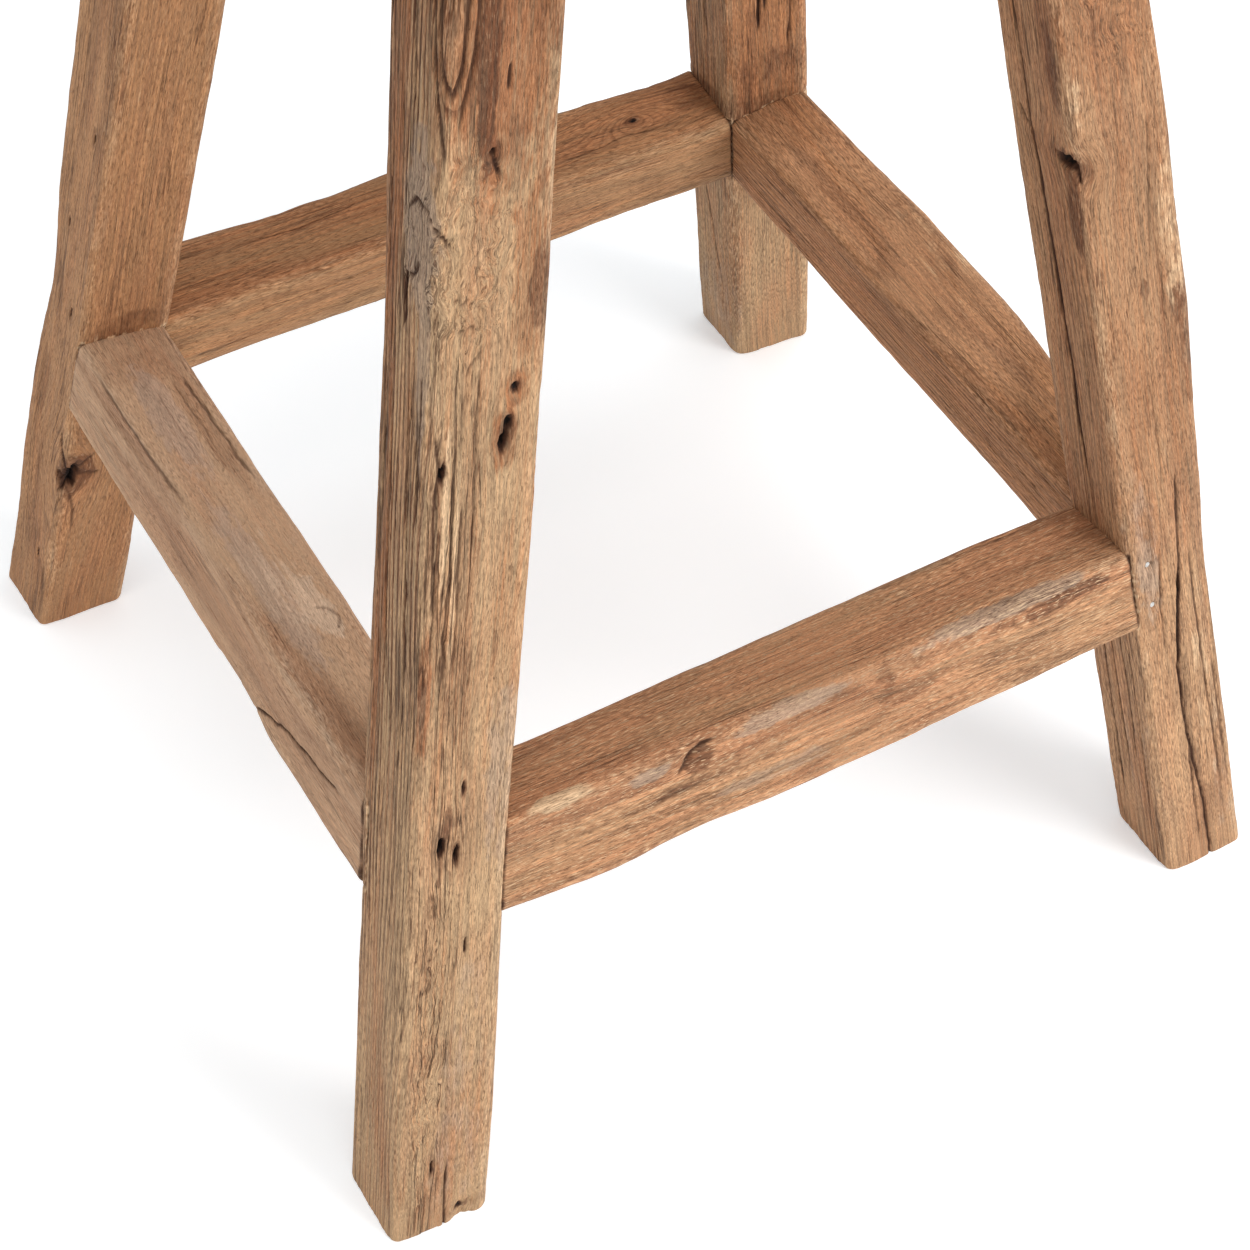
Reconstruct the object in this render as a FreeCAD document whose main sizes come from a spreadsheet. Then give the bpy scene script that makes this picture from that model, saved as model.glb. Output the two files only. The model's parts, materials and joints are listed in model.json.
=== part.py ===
import FreeCAD, Part
import math
import os
import Sketcher

# A rustic bar stool: four splayed square legs, a ring of four footrest rails tenoned
# into them, and a seat of two boards on the legs' wedged through-tenons.
# Millimetres. The origin is on the floor under the seat's centre, +X is the stool's
# right and -Y its front.

SIZES = {
    "base_width": 500.0,        # over the feet, left to right
    "base_depth": 488.0,        # over the feet, front to back
    "side_splay": 9.6,          # degrees, the legs' lean to the sides
    "front_splay": 9.4,         # degrees, the legs' lean to the front and back
    "seat_top": 730.0,
    "seat_thickness": 48.0,
    "seat_side_overhang": 40.0,  # past the legs' outer faces at the seat's underside
    "seat_face_overhang": 40.0,
    "seat_corner_round": 16.0,
    "seat_top_round": 7.0,
    "seat_under_round": 3.0,
    "leg_width": 46.5,          # left to right
    "leg_depth": 45.0,          # front to back
    "leg_round": 3.0,
    "foot_chamfer": 2.0,
    "rail_top": 230.5,          # the outer top arris above the floor
    "rail_height": 49.0,
    "rail_width": 44.0,
    "rail_round": 3.0,
    "tenon_thickness": 16.0,
    "tenon_height": 36.0,
    "mitre_gap": 0.7,           # between the mitred ends of two tenons in one leg
    "glue_gap": 0.15,           # around every tenon
    "seat_tenon": 28.0,         # the square tenon on top of a leg
    "wedge_thickness": 4.5,
    "wedge_tip": 1.2,
    "wedge_length": 36.0,
    "pin_diameter": 3.0,
    "pin_length": 34.0,
    "pin_setback": 10.0,        # from the rail's shoulder into the leg
    "pin_spacing": 27.0,
    "dowel_diameter": 10.0,
    "dowel_length": 64.0,
    "dowel_spacing": 84.0,
}

DOWEL_PLACES = (-1.5, -0.5, 0.5, 1.5)   # in dowel spacings from the seat's middle
CUT_OVERRUN = "2"                       # a cut starts this far outside the wood
TENON_ROOT = "4"                        # a tenon's sketch starts this far inside its rail
TOUCH = 0.01                            # nearer than this, two places are the same

doc = FreeCAD.newDocument("bar_stool")
sheet = doc.addObject("Spreadsheet::Sheet", "Sizes")
for row, (alias, value) in enumerate(SIZES.items(), start=1):
    sheet.set(f"A{row}", str(value))
    sheet.setAlias(f"A{row}", alias)
doc.recompute()

subparts = []


def size(alias):
    """A cell of the sheet, as an expression."""
    return f"Sizes.{alias}"


def times(sign, expression):
    """The expression with a side's sign, +1 or -1."""
    return f"({'-' if sign < 0 else ''}({expression}))"


def slope(splay):
    """How far a leg leans for each millimetre of height."""
    return f"tan(Sizes.{splay} * 1 deg)"


def cosine(splay):
    return f"cos(Sizes.{splay} * 1 deg)"


def sine(splay):
    return f"sin(Sizes.{splay} * 1 deg)"


SEAT_UNDERSIDE = "(Sizes.seat_top - Sizes.seat_thickness)"
SEAT_HALF_WIDTH = (f"(Sizes.base_width / 2 - {slope('side_splay')} * {SEAT_UNDERSIDE}"
                   f" + Sizes.seat_side_overhang)")
SEAT_HALF_DEPTH = (f"(Sizes.base_depth / 2 - {slope('front_splay')} * {SEAT_UNDERSIDE}"
                   f" + Sizes.seat_face_overhang)")
RAIL_CENTRE_HEIGHT = (f"(Sizes.rail_top - Sizes.rail_height / 2 * {cosine('front_splay')}"
                      f" - Sizes.rail_width / 2 * {sine('front_splay')})")
TENON_LOW = f"({RAIL_CENTRE_HEIGHT} - Sizes.tenon_height / 2)"


def tenon_offset(splay):
    """From a leg's outer face in to the middle of the tenon that runs beside that face."""
    return f"(Sizes.rail_width / 2 / {cosine(splay)})"


def finish(piece, label):
    """Name a sub-part's final object and keep it for the export."""
    piece.Label = label
    subparts.append(piece)
    return piece


def outline(body, name, role, loops, lift=None):
    """A sketch of closed straight-sided loops, each corner bound to two expressions."""
    plane = next(f for f in body.Origin.OriginFeatures if f.Role == role)
    sketch = body.newObject("Sketcher::SketchObject", name)
    sketch.AttachmentSupport = [(plane, "")]
    sketch.MapMode = "FlatFace"
    if lift:
        sketch.setExpression("AttachmentOffset.Base.z", lift)
    first = 0
    for corners in loops:
        count = len(corners)
        places = [FreeCAD.Vector(math.cos(2 * math.pi * k / count),
                                 math.sin(2 * math.pi * k / count), 0) * 100
                  for k in range(count)]
        for k in range(count):
            sketch.addGeometry(Part.LineSegment(places[k], places[(k + 1) % count]))
        for k in range(count):
            sketch.addConstraint(
                Sketcher.Constraint("Coincident", first + k, 2, first + (k + 1) % count, 1))
        for k, corner in enumerate(corners):
            for kind, start, value in (("DistanceX", places[k].x, corner[0]),
                                       ("DistanceY", places[k].y, corner[1])):
                index = sketch.addConstraint(Sketcher.Constraint(kind, first + k, 1, start))
                sketch.setExpression(f"Constraints[{index}]", value)
        first += count
    return sketch


def extrude(body, kind, name, sketch, length, direction=None):
    """A Pad or Pocket of the sketch; along a leaning direction, length is its rise."""
    feature = body.newObject(f"PartDesign::{kind}", name)
    feature.Profile = sketch
    feature.setExpression("Length", length)
    if direction:
        feature.UseCustomVector = True
        feature.AlongSketchNormal = True
        for axis, value in zip("xyz", direction):
            feature.setExpression(f"Direction.{axis}", value)
    doc.recompute()
    return feature


def round_edges(body, kind, name, alias, chosen):
    """A Fillet or Chamfer on the edges of the body's tip that the test picks."""
    tip = body.Tip
    names = [f"Edge{n}" for n, edge in enumerate(tip.Shape.Edges, start=1) if chosen(edge)]
    feature = body.newObject(f"PartDesign::{kind}", name)
    feature.Base = (tip, names)
    feature.setExpression("Radius" if kind == "Fillet" else "Size", size(alias))
    doc.recompute()
    return feature


def removes_wood(body, pocket):
    """Stop if a pocket points away from the wood and cuts nothing."""
    if pocket.Shape.Volume >= pocket.BaseFeature.Shape.Volume - 1.0:
        raise RuntimeError(f"{pocket.Name} of {body.Label} cuts nothing")


def place(feature, position, axis=(0, 0, 1), angle="0"):
    """Bind a feature's whole placement to expressions."""
    feature.setExpression(
        "Placement",
        f"placement(vector({position[0]}; {position[1]}; {position[2]}); "
        f"rotation(vector({axis[0]}; {axis[1]}; {axis[2]}); {angle}))")


def cylinder(name, diameter, length):
    feature = doc.addObject("Part::Cylinder", name)
    feature.setExpression("Radius", f"{size(diameter)} / 2")
    feature.setExpression("Height", size(length))
    return feature


def group(name, members):
    compound = doc.addObject("Part::Compound", name)
    compound.Links = members
    return compound


def drilled(label, body, tools):
    """The piece that is left of a body when its fastenings' holes are made."""
    cut = doc.addObject("Part::Cut", label)
    cut.Base = body
    cut.Tool = tools[0] if len(tools) == 1 else group(f"{label}_fastenings", tools)
    return finish(cut, label)


# ---- The four rails' places ------------------------------------------------------
# Each rail is drawn as if it were the front one: its X along the rail, its Y from the
# outer face inwards, its origin on the floor below the middle of that face. A side
# rail runs between the legs' other faces, so it swaps the width and depth sizes.

ACROSS = {"run": "base_width", "leg_run": "leg_width",
          "run_splay": "side_splay", "lean": "front_splay"}
ALONG = {"run": "base_depth", "leg_run": "leg_depth",
         "run_splay": "front_splay", "lean": "side_splay"}

RAILS = {
    "front": (ACROSS, "0", ("0", "-Sizes.base_depth / 2", "0"), ("left", "right")),
    "right": (ALONG, "90", ("Sizes.base_width / 2", "0", "0"), ("front", "back")),
    "back": (ACROSS, "180", ("0", "Sizes.base_depth / 2", "0"), ("right", "left")),
    "left": (ALONG, "270", ("-Sizes.base_width / 2", "0", "0"), ("back", "front")),
}


# ---- Steel pins: two through every tenon, driven in from the leg's outer face -----

def joint_pins(rail, end_name, side):
    """Two pins square to the rail's outer face, in the rail's own frame, then placed."""
    along, turn, origin, _ = RAILS[rail]
    lean = along["lean"]
    pins = []
    for level, step in (("lower", -1), ("upper", 1)):
        height = (f"(Sizes.rail_top + ({step} * Sizes.pin_spacing - Sizes.rail_height) / 2"
                  f" * {cosine(lean)})")
        reach = (f"Sizes.{along['run']} / 2 - {slope(along['run_splay'])} * {height}"
                 f" - Sizes.{along['leg_run']} + Sizes.pin_setback")
        pin = cylinder(f"pin_{rail}_{end_name}_{level}", "pin_diameter", "pin_length")
        place(pin, (times(side, reach), f"{slope(lean)} * {height}", height),
              (1, 0, 0), f"-90 - {size(lean)}")
        pins.append(pin)
    pair = group(f"pins_{rail}_rail_{end_name}", pins)
    place(pair, origin, angle=turn)
    return finish(pair, f"pins_{rail}_rail_{end_name}")


pins_of = {}
for rail, (_, _, _, end_names) in RAILS.items():
    for side, end_name in zip((-1, 1), end_names):
        pins_of[rail, end_name] = joint_pins(rail, end_name, side)


# ---- Footrest rails ---------------------------------------------------------------

def footrest(rail):
    """A square bar turned with the splay, cut to the legs, with a mitred tenon each end."""
    along, turn, origin, end_names = RAILS[rail]
    lean, run_splay = along["lean"], along["run_splay"]
    body = doc.addObject("PartDesign::Body", f"footrest_{rail}_bar")
    place(body, origin, angle=turn)

    top_y, top_z = f"({slope(lean)} * Sizes.rail_top)", size("rail_top")
    down = (f"Sizes.rail_height * {sine(lean)}", f"Sizes.rail_height * {cosine(lean)}")
    inwards = (f"Sizes.rail_width * {cosine(lean)}", f"Sizes.rail_width * {sine(lean)}")
    section = outline(body, f"section_{rail}", "YZ_Plane", [[
        (top_y, top_z),
        (f"{top_y} - {down[0]}", f"{top_z} - {down[1]}"),
        (f"{top_y} - {down[0]} + {inwards[0]}", f"{top_z} - {down[1]} - {inwards[1]}"),
        (f"{top_y} + {inwards[0]}", f"{top_z} - {inwards[1]}")]])
    bar = extrude(body, "Pad", f"bar_{rail}", section, size(along["run"]))
    bar.Midplane = True
    doc.recompute()
    round_edges(body, "Fillet", f"worn_{rail}", "rail_round",
                lambda edge: edge.BoundBox.XLength > edge.BoundBox.YLength + edge.BoundBox.ZLength)

    def shoulder(side, height):
        return times(side, f"Sizes.{along['run']} / 2 - Sizes.{along['leg_run']}"
                           f" - {slope(run_splay)} * ({height})")

    low = "(Sizes.rail_top - 2 * Sizes.rail_height)"
    high = "(Sizes.rail_top + Sizes.rail_height)"
    ends = outline(body, f"shoulders_{rail}", "XZ_Plane", [
        [(shoulder(side, high), high), (times(side, size(along["run"])), high),
         (times(side, size(along["run"])), low), (shoulder(side, low), low)]
        for side in (-1, 1)])
    cut = body.newObject("PartDesign::Pocket", f"ends_{rail}")
    cut.Profile = ends
    cut.Type = "ThroughAll"
    cut.Midplane = True
    doc.recompute()
    removes_wood(body, cut)

    middle = tenon_offset(lean)
    outer = f"({middle} - Sizes.tenon_thickness / 2)"
    inner = f"({middle} + Sizes.tenon_thickness / 2)"
    mitre = f"({tenon_offset(run_splay)} - {middle} + Sizes.mitre_gap)"
    root = f"(Sizes.{along['leg_run']} + {TENON_ROOT})"
    for side, end_name in zip((-1, 1), end_names):
        def corner(from_leg_end, from_face):
            """A point given by its distances in from the leg's two outer faces."""
            run = f"Sizes.{along['run']} / 2 - {slope(run_splay)} * {TENON_LOW} - {from_leg_end}"
            return times(side, run), f"{slope(lean)} * {TENON_LOW} + {from_face}"

        plan = outline(body, f"tenon_plan_{rail}_{end_name}", "XY_Plane", [[
            corner(root, outer), corner(f"({outer} + {mitre})", outer),
            corner(f"({inner} + {mitre})", inner), corner(root, inner)]], TENON_LOW)
        extrude(body, "Pad", f"tenon_{rail}_{end_name}", plan, size("tenon_height"),
                (times(-side, slope(run_splay)), slope(lean), "1"))
    drilled(f"footrest_{rail}", body, [pins_of[rail, name] for name in end_names])


for rail in RAILS:
    footrest(rail)


# ---- Wedges in the tops of the legs' through-tenons --------------------------------

SIDES = {"left": -1, "right": 1}
FACES = {"front": -1, "back": 1}


def leg_point(x_side, y_side, height, from_side, from_face):
    """Plan place of a point of a leg, in from its two outer faces, at a height."""
    return (times(x_side, f"Sizes.base_width / 2 - {slope('side_splay')} * {height} - {from_side}"),
            times(y_side, f"Sizes.base_depth / 2 - {slope('front_splay')} * {height} - {from_face}"))


def wedge(name, x_side, y_side):
    """A taper that leans with the leg: thin at its tip, flush with the seat at its head."""
    tip_height = "(Sizes.seat_top - Sizes.wedge_length)"
    feature = doc.addObject("Part::Wedge", name)
    for level, height, thickness in (("", tip_height, "wedge_tip"),
                                     ("2", size("seat_top"), "wedge_thickness")):
        x, y = leg_point(x_side, y_side, height, "Sizes.leg_width / 2", "Sizes.leg_depth / 2")
        for limit, step in (("min", "-"), ("max", "+")):
            first = f"X{level}{limit}"
            second = f"Z{level}{limit}"
            feature.setExpression(first, f"{x} {step} Sizes.{thickness} / 2")
            feature.setExpression(second, f"-({y}) {step} Sizes.seat_tenon / 2")
    feature.setExpression("Ymin", tip_height)
    feature.setExpression("Ymax", size("seat_top"))
    place(feature, ("0", "0", "0"), (1, 0, 0), "90")
    return finish(feature, name)


wedge_of = {(face, side): wedge(f"seat_wedge_{face}_{side}", x_side, y_side)
            for face, y_side in FACES.items() for side, x_side in SIDES.items()}


# ---- Legs ---------------------------------------------------------------------------

def leg(face, side):
    """A square post leaning both ways, with a seat tenon and a mortise for two rails."""
    x_side, y_side = SIDES[side], FACES[face]
    label = f"leg_{face}_{side}"
    direction = (times(-x_side, slope("side_splay")), times(-y_side, slope("front_splay")), "1")
    body = doc.addObject("PartDesign::Body", f"{label}_post")
    width, depth = size("leg_width"), size("leg_depth")

    def plan(name, height, corners):
        return outline(body, f"{name}_{face}_{side}", "XY_Plane",
                       [[leg_point(x_side, y_side, height, *corner) for corner in corners]],
                       height)

    foot = plan("foot", "0", [("0", "0"), (width, "0"), (width, depth), ("0", depth)])
    extrude(body, "Pad", f"post_{face}_{side}", foot, SEAT_UNDERSIDE, direction)
    round_edges(body, "Fillet", f"worn_{face}_{side}", "leg_round",
                lambda edge: edge.BoundBox.ZLength > SIZES["leg_width"])
    round_edges(body, "Chamfer", f"foot_edge_{face}_{side}", "foot_chamfer",
                lambda edge: edge.BoundBox.ZMax < TOUCH)

    near = [f"(({size(across)} - Sizes.seat_tenon) / 2)" for across in ("leg_width", "leg_depth")]
    far = [f"(({size(across)} + Sizes.seat_tenon) / 2)" for across in ("leg_width", "leg_depth")]
    top = plan("seat_tenon", SEAT_UNDERSIDE,
               [(near[0], near[1]), (far[0], near[1]), (far[0], far[1]), (near[0], far[1])])
    extrude(body, "Pad", f"tenon_{face}_{side}", top, size("seat_thickness"), direction)

    # One L-shaped mortise takes the tenons of both rails, which meet on a mitre.
    side_middle, face_middle = tenon_offset("side_splay"), tenon_offset("front_splay")
    half = "(Sizes.tenon_thickness / 2 + Sizes.glue_gap)"
    floor = f"({TENON_LOW} - Sizes.glue_gap)"
    side_near, side_far = f"({side_middle} - {half})", f"({side_middle} + {half})"
    face_near, face_far = f"({face_middle} - {half})", f"({face_middle} + {half})"
    mouth_side, mouth_face = f"({width} + {CUT_OVERRUN})", f"({depth} + {CUT_OVERRUN})"
    mortise = plan("mortise", floor, [
        (mouth_side, face_near), (side_near, face_near), (side_near, mouth_face),
        (side_far, mouth_face), (side_far, face_far), (mouth_side, face_far)])
    pocket = extrude(body, "Pocket", f"mortise_cut_{face}_{side}", mortise,
                     "Sizes.tenon_height + 2 * Sizes.glue_gap", direction)
    removes_wood(body, pocket)
    drilled(label, body, [wedge_of[face, side], pins_of[face, side], pins_of[side, face]])


for face in FACES:
    for side in SIDES:
        leg(face, side)


# ---- Seat: two boards edge to edge, held by four dowels -----------------------------

dowels = []
for number, spacings in enumerate(DOWEL_PLACES, start=1):
    dowel = cylinder(f"dowel_{number}", "dowel_diameter", "dowel_length")
    place(dowel, (f"{spacings} * Sizes.dowel_spacing", "Sizes.dowel_length / 2",
                  "(Sizes.seat_top - Sizes.seat_thickness / 2)"), (1, 0, 0), "90")
    dowels.append(dowel)
seat_dowels = finish(group("seat_dowels", dowels), "seat_dowels")


def seat_board(face):
    """One board, its grain along X, with a leaning mortise for each of its two legs."""
    y_side = FACES[face]
    body = doc.addObject("PartDesign::Body", f"seat_board_{face}_plank")
    edge = times(y_side, SEAT_HALF_DEPTH)
    plank = outline(body, f"plank_{face}", "XY_Plane", [[
        (times(-1, SEAT_HALF_WIDTH), "0"), (SEAT_HALF_WIDTH, "0"),
        (SEAT_HALF_WIDTH, edge), (times(-1, SEAT_HALF_WIDTH), edge)]], SEAT_UNDERSIDE)
    board = extrude(body, "Pad", f"board_{face}", plank, size("seat_thickness")).Shape.BoundBox

    half = "(Sizes.seat_tenon / 2 + Sizes.glue_gap)"
    for side, x_side in SIDES.items():
        def corner(from_side, from_face):
            """A corner of the mortise, half its width either way from the leg's middle."""
            return leg_point(x_side, y_side, SEAT_UNDERSIDE,
                             f"(Sizes.leg_width / 2 + {from_side} * {half})",
                             f"(Sizes.leg_depth / 2 + {from_face} * {half})")

        hole = outline(body, f"mortise_{face}_{side}_seat", "XY_Plane", [[
            corner(-1, -1), corner(1, -1), corner(1, 1), corner(-1, 1)]], SEAT_UNDERSIDE)
        pocket = extrude(body, "Pocket", f"through_{face}_{side}", hole, size("seat_thickness"),
                         (times(-x_side, slope("side_splay")),
                          times(-y_side, slope("front_splay")), "1"))
        removes_wood(body, pocket)

    def on_rim(edge):
        """Edges of the board's outside, leaving the joint and the mortises sharp."""
        box = edge.BoundBox
        end = max(abs(box.XMin), abs(box.XMax)) > board.XMax - TOUCH
        long_side = max(abs(box.YMin), abs(box.YMax)) > board.YLength - TOUCH
        joint = max(abs(box.YMin), abs(box.YMax)) < TOUCH
        return (end or long_side) and not joint

    round_edges(body, "Fillet", f"corners_{face}", "seat_corner_round",
                lambda edge: on_rim(edge) and edge.BoundBox.ZLength > TOUCH)
    round_edges(body, "Fillet", f"top_round_{face}", "seat_top_round",
                lambda edge: on_rim(edge) and edge.BoundBox.ZMin > board.ZMax - TOUCH)
    round_edges(body, "Fillet", f"under_round_{face}", "seat_under_round",
                lambda edge: on_rim(edge) and edge.BoundBox.ZMax < board.ZMin + TOUCH)
    drilled(f"seat_board_{face}", body, [seat_dowels])


for face in FACES:
    seat_board(face)


# ---- Check and write ------------------------------------------------------------------

doc.recompute()
for item in doc.Objects:
    if "Invalid" in item.State or "Error" in item.State:
        raise RuntimeError(f"{item.Label} failed: {item.State}")
for piece in subparts:
    if piece.Shape.isNull() or not piece.Shape.isValid():
        raise RuntimeError(f"{piece.Label} has no valid shape")

os.makedirs("parts", exist_ok=True)
for piece in subparts:
    piece.Shape.exportStep(f"parts/{piece.Label}.step")
    print(f"{piece.Label}: {len(piece.Shape.Solids)} solid(s), {piece.Shape.Volume / 1000:.1f} cm3")
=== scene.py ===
import json
import math
from functools import partial

import bpy
import numpy as np
from mathutils import Matrix, Vector


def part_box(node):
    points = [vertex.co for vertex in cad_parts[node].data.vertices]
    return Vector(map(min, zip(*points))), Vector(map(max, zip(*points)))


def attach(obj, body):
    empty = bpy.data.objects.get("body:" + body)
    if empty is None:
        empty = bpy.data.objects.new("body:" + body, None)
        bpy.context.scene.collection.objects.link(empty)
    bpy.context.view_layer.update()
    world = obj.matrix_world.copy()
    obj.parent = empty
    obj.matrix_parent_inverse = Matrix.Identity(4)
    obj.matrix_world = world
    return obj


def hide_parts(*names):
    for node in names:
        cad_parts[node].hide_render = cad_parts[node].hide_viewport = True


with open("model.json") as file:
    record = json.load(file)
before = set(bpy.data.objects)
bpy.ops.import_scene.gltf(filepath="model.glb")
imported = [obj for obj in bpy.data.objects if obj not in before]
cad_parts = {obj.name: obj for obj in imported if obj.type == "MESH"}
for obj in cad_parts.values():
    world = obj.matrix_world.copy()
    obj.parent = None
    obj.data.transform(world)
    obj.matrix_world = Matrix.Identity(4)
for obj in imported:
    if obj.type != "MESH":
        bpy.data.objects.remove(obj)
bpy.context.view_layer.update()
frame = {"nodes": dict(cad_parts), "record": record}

# ---------------------------------------------------------------------------------
# The studio: a white floor sweep, a broad soft light from the front right, a wider
# one overhead, a weak warm one from the left, and a camera that looks down on the
# front left leg.
# ---------------------------------------------------------------------------------

CAMERA_PLACE = Vector((-0.5120, -0.9040, 1.2605))
CAMERA_HEADING, CAMERA_DIP, CAMERA_ROLL = (math.radians(a) for a in (59.9, 49.03, 1.08))
LENS, SENSOR = 85.66, 36.0             # mm
LIT_POINT = Vector((0, 0, 0.3))        # where every lamp points, about mid-stool
ROOM_LIGHT = 0.64
FLOOR_HALF = 6.0                       # m
FLOOR_GLOW = (0.89, 1.02, 1.11, 1.0)   # a cool lift that keeps the sweep white
FLOOR_GLOW_STRENGTH = 0.27

scene = bpy.context.scene
scene.view_settings.view_transform = "Standard"


def aim(place, target, roll=0.0):
    """A matrix at place whose -Z looks at target, its X level and then rolled."""
    back = (place - target).normalized()
    right = Vector((0, 0, 1)).cross(back).normalized()
    turned = right * math.cos(roll) + back.cross(right) * math.sin(roll)
    turn = Matrix((turned, back.cross(turned), back)).transposed().to_4x4()
    return Matrix.Translation(place) @ turn


sight = Vector((math.cos(CAMERA_DIP) * math.cos(CAMERA_HEADING),
                math.cos(CAMERA_DIP) * math.sin(CAMERA_HEADING), -math.sin(CAMERA_DIP)))
camera_data = bpy.data.cameras.new("camera")
camera_data.lens, camera_data.sensor_width = LENS, SENSOR
camera = bpy.data.objects.new("camera", camera_data)
camera.matrix_world = aim(CAMERA_PLACE, CAMERA_PLACE + sight, CAMERA_ROLL)
scene.collection.objects.link(camera)
scene.camera = camera


def soft_light(name, place, size, power, colour=(1.0, 1.0, 1.0)):
    data = bpy.data.lights.new(name, "AREA")
    data.shape, data.size, data.energy, data.color = "DISK", size, power, colour
    lamp = bpy.data.objects.new(name, data)
    lamp.matrix_world = aim(Vector(place), LIT_POINT)
    scene.collection.objects.link(lamp)


soft_light("key", (1.6, -2.8, 1.7), 1.9, 72)
soft_light("overhead", (0.2, -0.6, 3.6), 3.0, 34)
soft_light("side", (-2.4, -0.6, 1.0), 1.2, 6, (1.0, 0.82, 0.66))

world = bpy.data.worlds.new("studio")
scene.world = world
world.use_nodes = True
room = world.node_tree.nodes["Background"].inputs
room["Color"].default_value = (1.0, 1.0, 1.0, 1.0)
room["Strength"].default_value = ROOM_LIGHT


def node(tree, kind, inputs=None, **settings):
    """One shader node: a plain input is set, a socket given as an input is linked."""
    made = tree.nodes.new(kind)
    for key, value in settings.items():
        setattr(made, key, value)
    for key, value in (inputs or {}).items():
        if isinstance(value, bpy.types.NodeSocket):
            tree.links.new(value, made.inputs[key])
        else:
            made.inputs[key].default_value = value
    return made


def stain(red, green, blue):
    """A colour as it looks on a swatch, 0 to 255, turned into light: a linear RGBA."""
    swatch = np.array([red, green, blue]) / 255
    light = np.where(swatch <= 0.04045, swatch / 12.92, ((swatch + 0.055) / 1.055) ** 2.4)
    return (*light.tolist(), 1.0)


def finish(name, **sockets):
    """A material with one Principled shader; returns it, its tree and its shader."""
    material = bpy.data.materials.new(name)
    material.use_nodes = True
    shader = material.node_tree.nodes["Principled BSDF"]
    for key, value in sockets.items():
        shader.inputs[key.replace("_", " ")].default_value = value
    return material, material.node_tree, shader


floor_mesh = bpy.data.meshes.new("floor")
floor_mesh.from_pydata([(-FLOOR_HALF, -FLOOR_HALF, 0), (FLOOR_HALF, -FLOOR_HALF, 0),
                        (FLOOR_HALF, FLOOR_HALF, 0), (-FLOOR_HALF, FLOOR_HALF, 0)],
                       [], [(0, 1, 2, 3)])
floor = bpy.data.objects.new("floor", floor_mesh)
scene.collection.objects.link(floor)
floor_paint, floor_tree, floor_shader = finish("studio_floor", Roughness=0.9)
mottle = node(floor_tree, "ShaderNodeTexNoise", {"Scale": 1.5, "Detail": 2.0})
tone = node(floor_tree, "ShaderNodeMapRange", {
    "Value": mottle.outputs["Fac"], "From Min": 0.3, "From Max": 0.7,
    "To Min": 0.955, "To Max": 0.965})
floor_tree.links.new(tone.outputs["Result"], floor_shader.inputs["Base Color"])
floor_shader.inputs["Emission Color"].default_value = FLOOR_GLOW
floor_shader.inputs["Emission Strength"].default_value = FLOOR_GLOW_STRENGTH
floor_mesh.materials.append(floor_paint)


# ---------------------------------------------------------------------------------
# Legs: four square posts sawn from old house beams, leaning out both ways. Bare
# hardwood, silvered and furrowed by weather, with split faces, knot holes and chewed
# arrises. Each runs on as a tenon through the seat.
# ---------------------------------------------------------------------------------

MM = 0.001
SIDE_LEAN, FACE_LEAN = (math.tan(math.radians(a)) for a in (9.6, 9.4))
LEG_WIDTH, LEG_DEPTH = 46.5, 45.0      # mm, left to right and front to back
TENON_SHARE = 28.0 / LEG_WIDTH         # the seat tenon's side over the leg's
SAWN_ROUND = 3.6                       # mm, the arris's radius before it wears
FOOT = {mount["name"].removeprefix("foot_"): mount["pos_m"]
        for mount in frame["record"]["mounts"] if mount["name"].startswith("foot_")}
SEAT_UNDERSIDE, SEAT_TOP = (corner.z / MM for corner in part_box("seat_board_front"))
CAP_SHARES = np.array([0.15, 0.4, 0.65, 0.85, 0.95])    # rings on a flat end
TURN_STEPS = np.radians([0, 22, 45, 68])                # rings round its edge
UPPER_SHAFT, UPPER_STEP = 610, 6       # mm: near the seat a leg has fewer rings


def drift(x, y, z, seed):
    """Smooth random field of about -1 to 1, with cells of size 1: a random slope at each
    cell corner, blended by 6t^5 - 15t^4 + 10t^3 in each direction (gradient noise)."""
    random = np.random.default_rng(seed)
    shuffle = random.permutation(256)
    slopes = random.normal(size=(256, 3))
    slopes /= np.linalg.norm(slopes, axis=1, keepdims=True)
    x, y, z = np.broadcast_arrays(x, y, z)
    cells = [np.floor(v).astype(int) for v in (x, y, z)]
    parts = [v - c for v, c in zip((x, y, z), cells)]
    blends = [t ** 3 * (t * (t * 6 - 15) + 10) for t in parts]
    total = np.zeros(x.shape)
    for corner in np.ndindex(2, 2, 2):
        key = 0
        weight = 1.0
        reach = []
        for step, cell, part, blend in zip(corner, cells, parts, blends):
            key = shuffle[(key + cell + step) & 255]
            weight = weight * (blend if step else 1 - blend)
            reach.append(part - step)
        slope = slopes[key]
        total += weight * (slope[..., 0] * reach[0] + slope[..., 1] * reach[1]
                           + slope[..., 2] * reach[2])
    return total * 1.7


def ramp(value, low, high):
    """0 below low, 1 above high, and smooth between: 3t^2 - 2t^3."""
    t = np.clip((value - low) / (high - low), 0, 1)
    return t * t * (3 - 2 * t)


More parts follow.
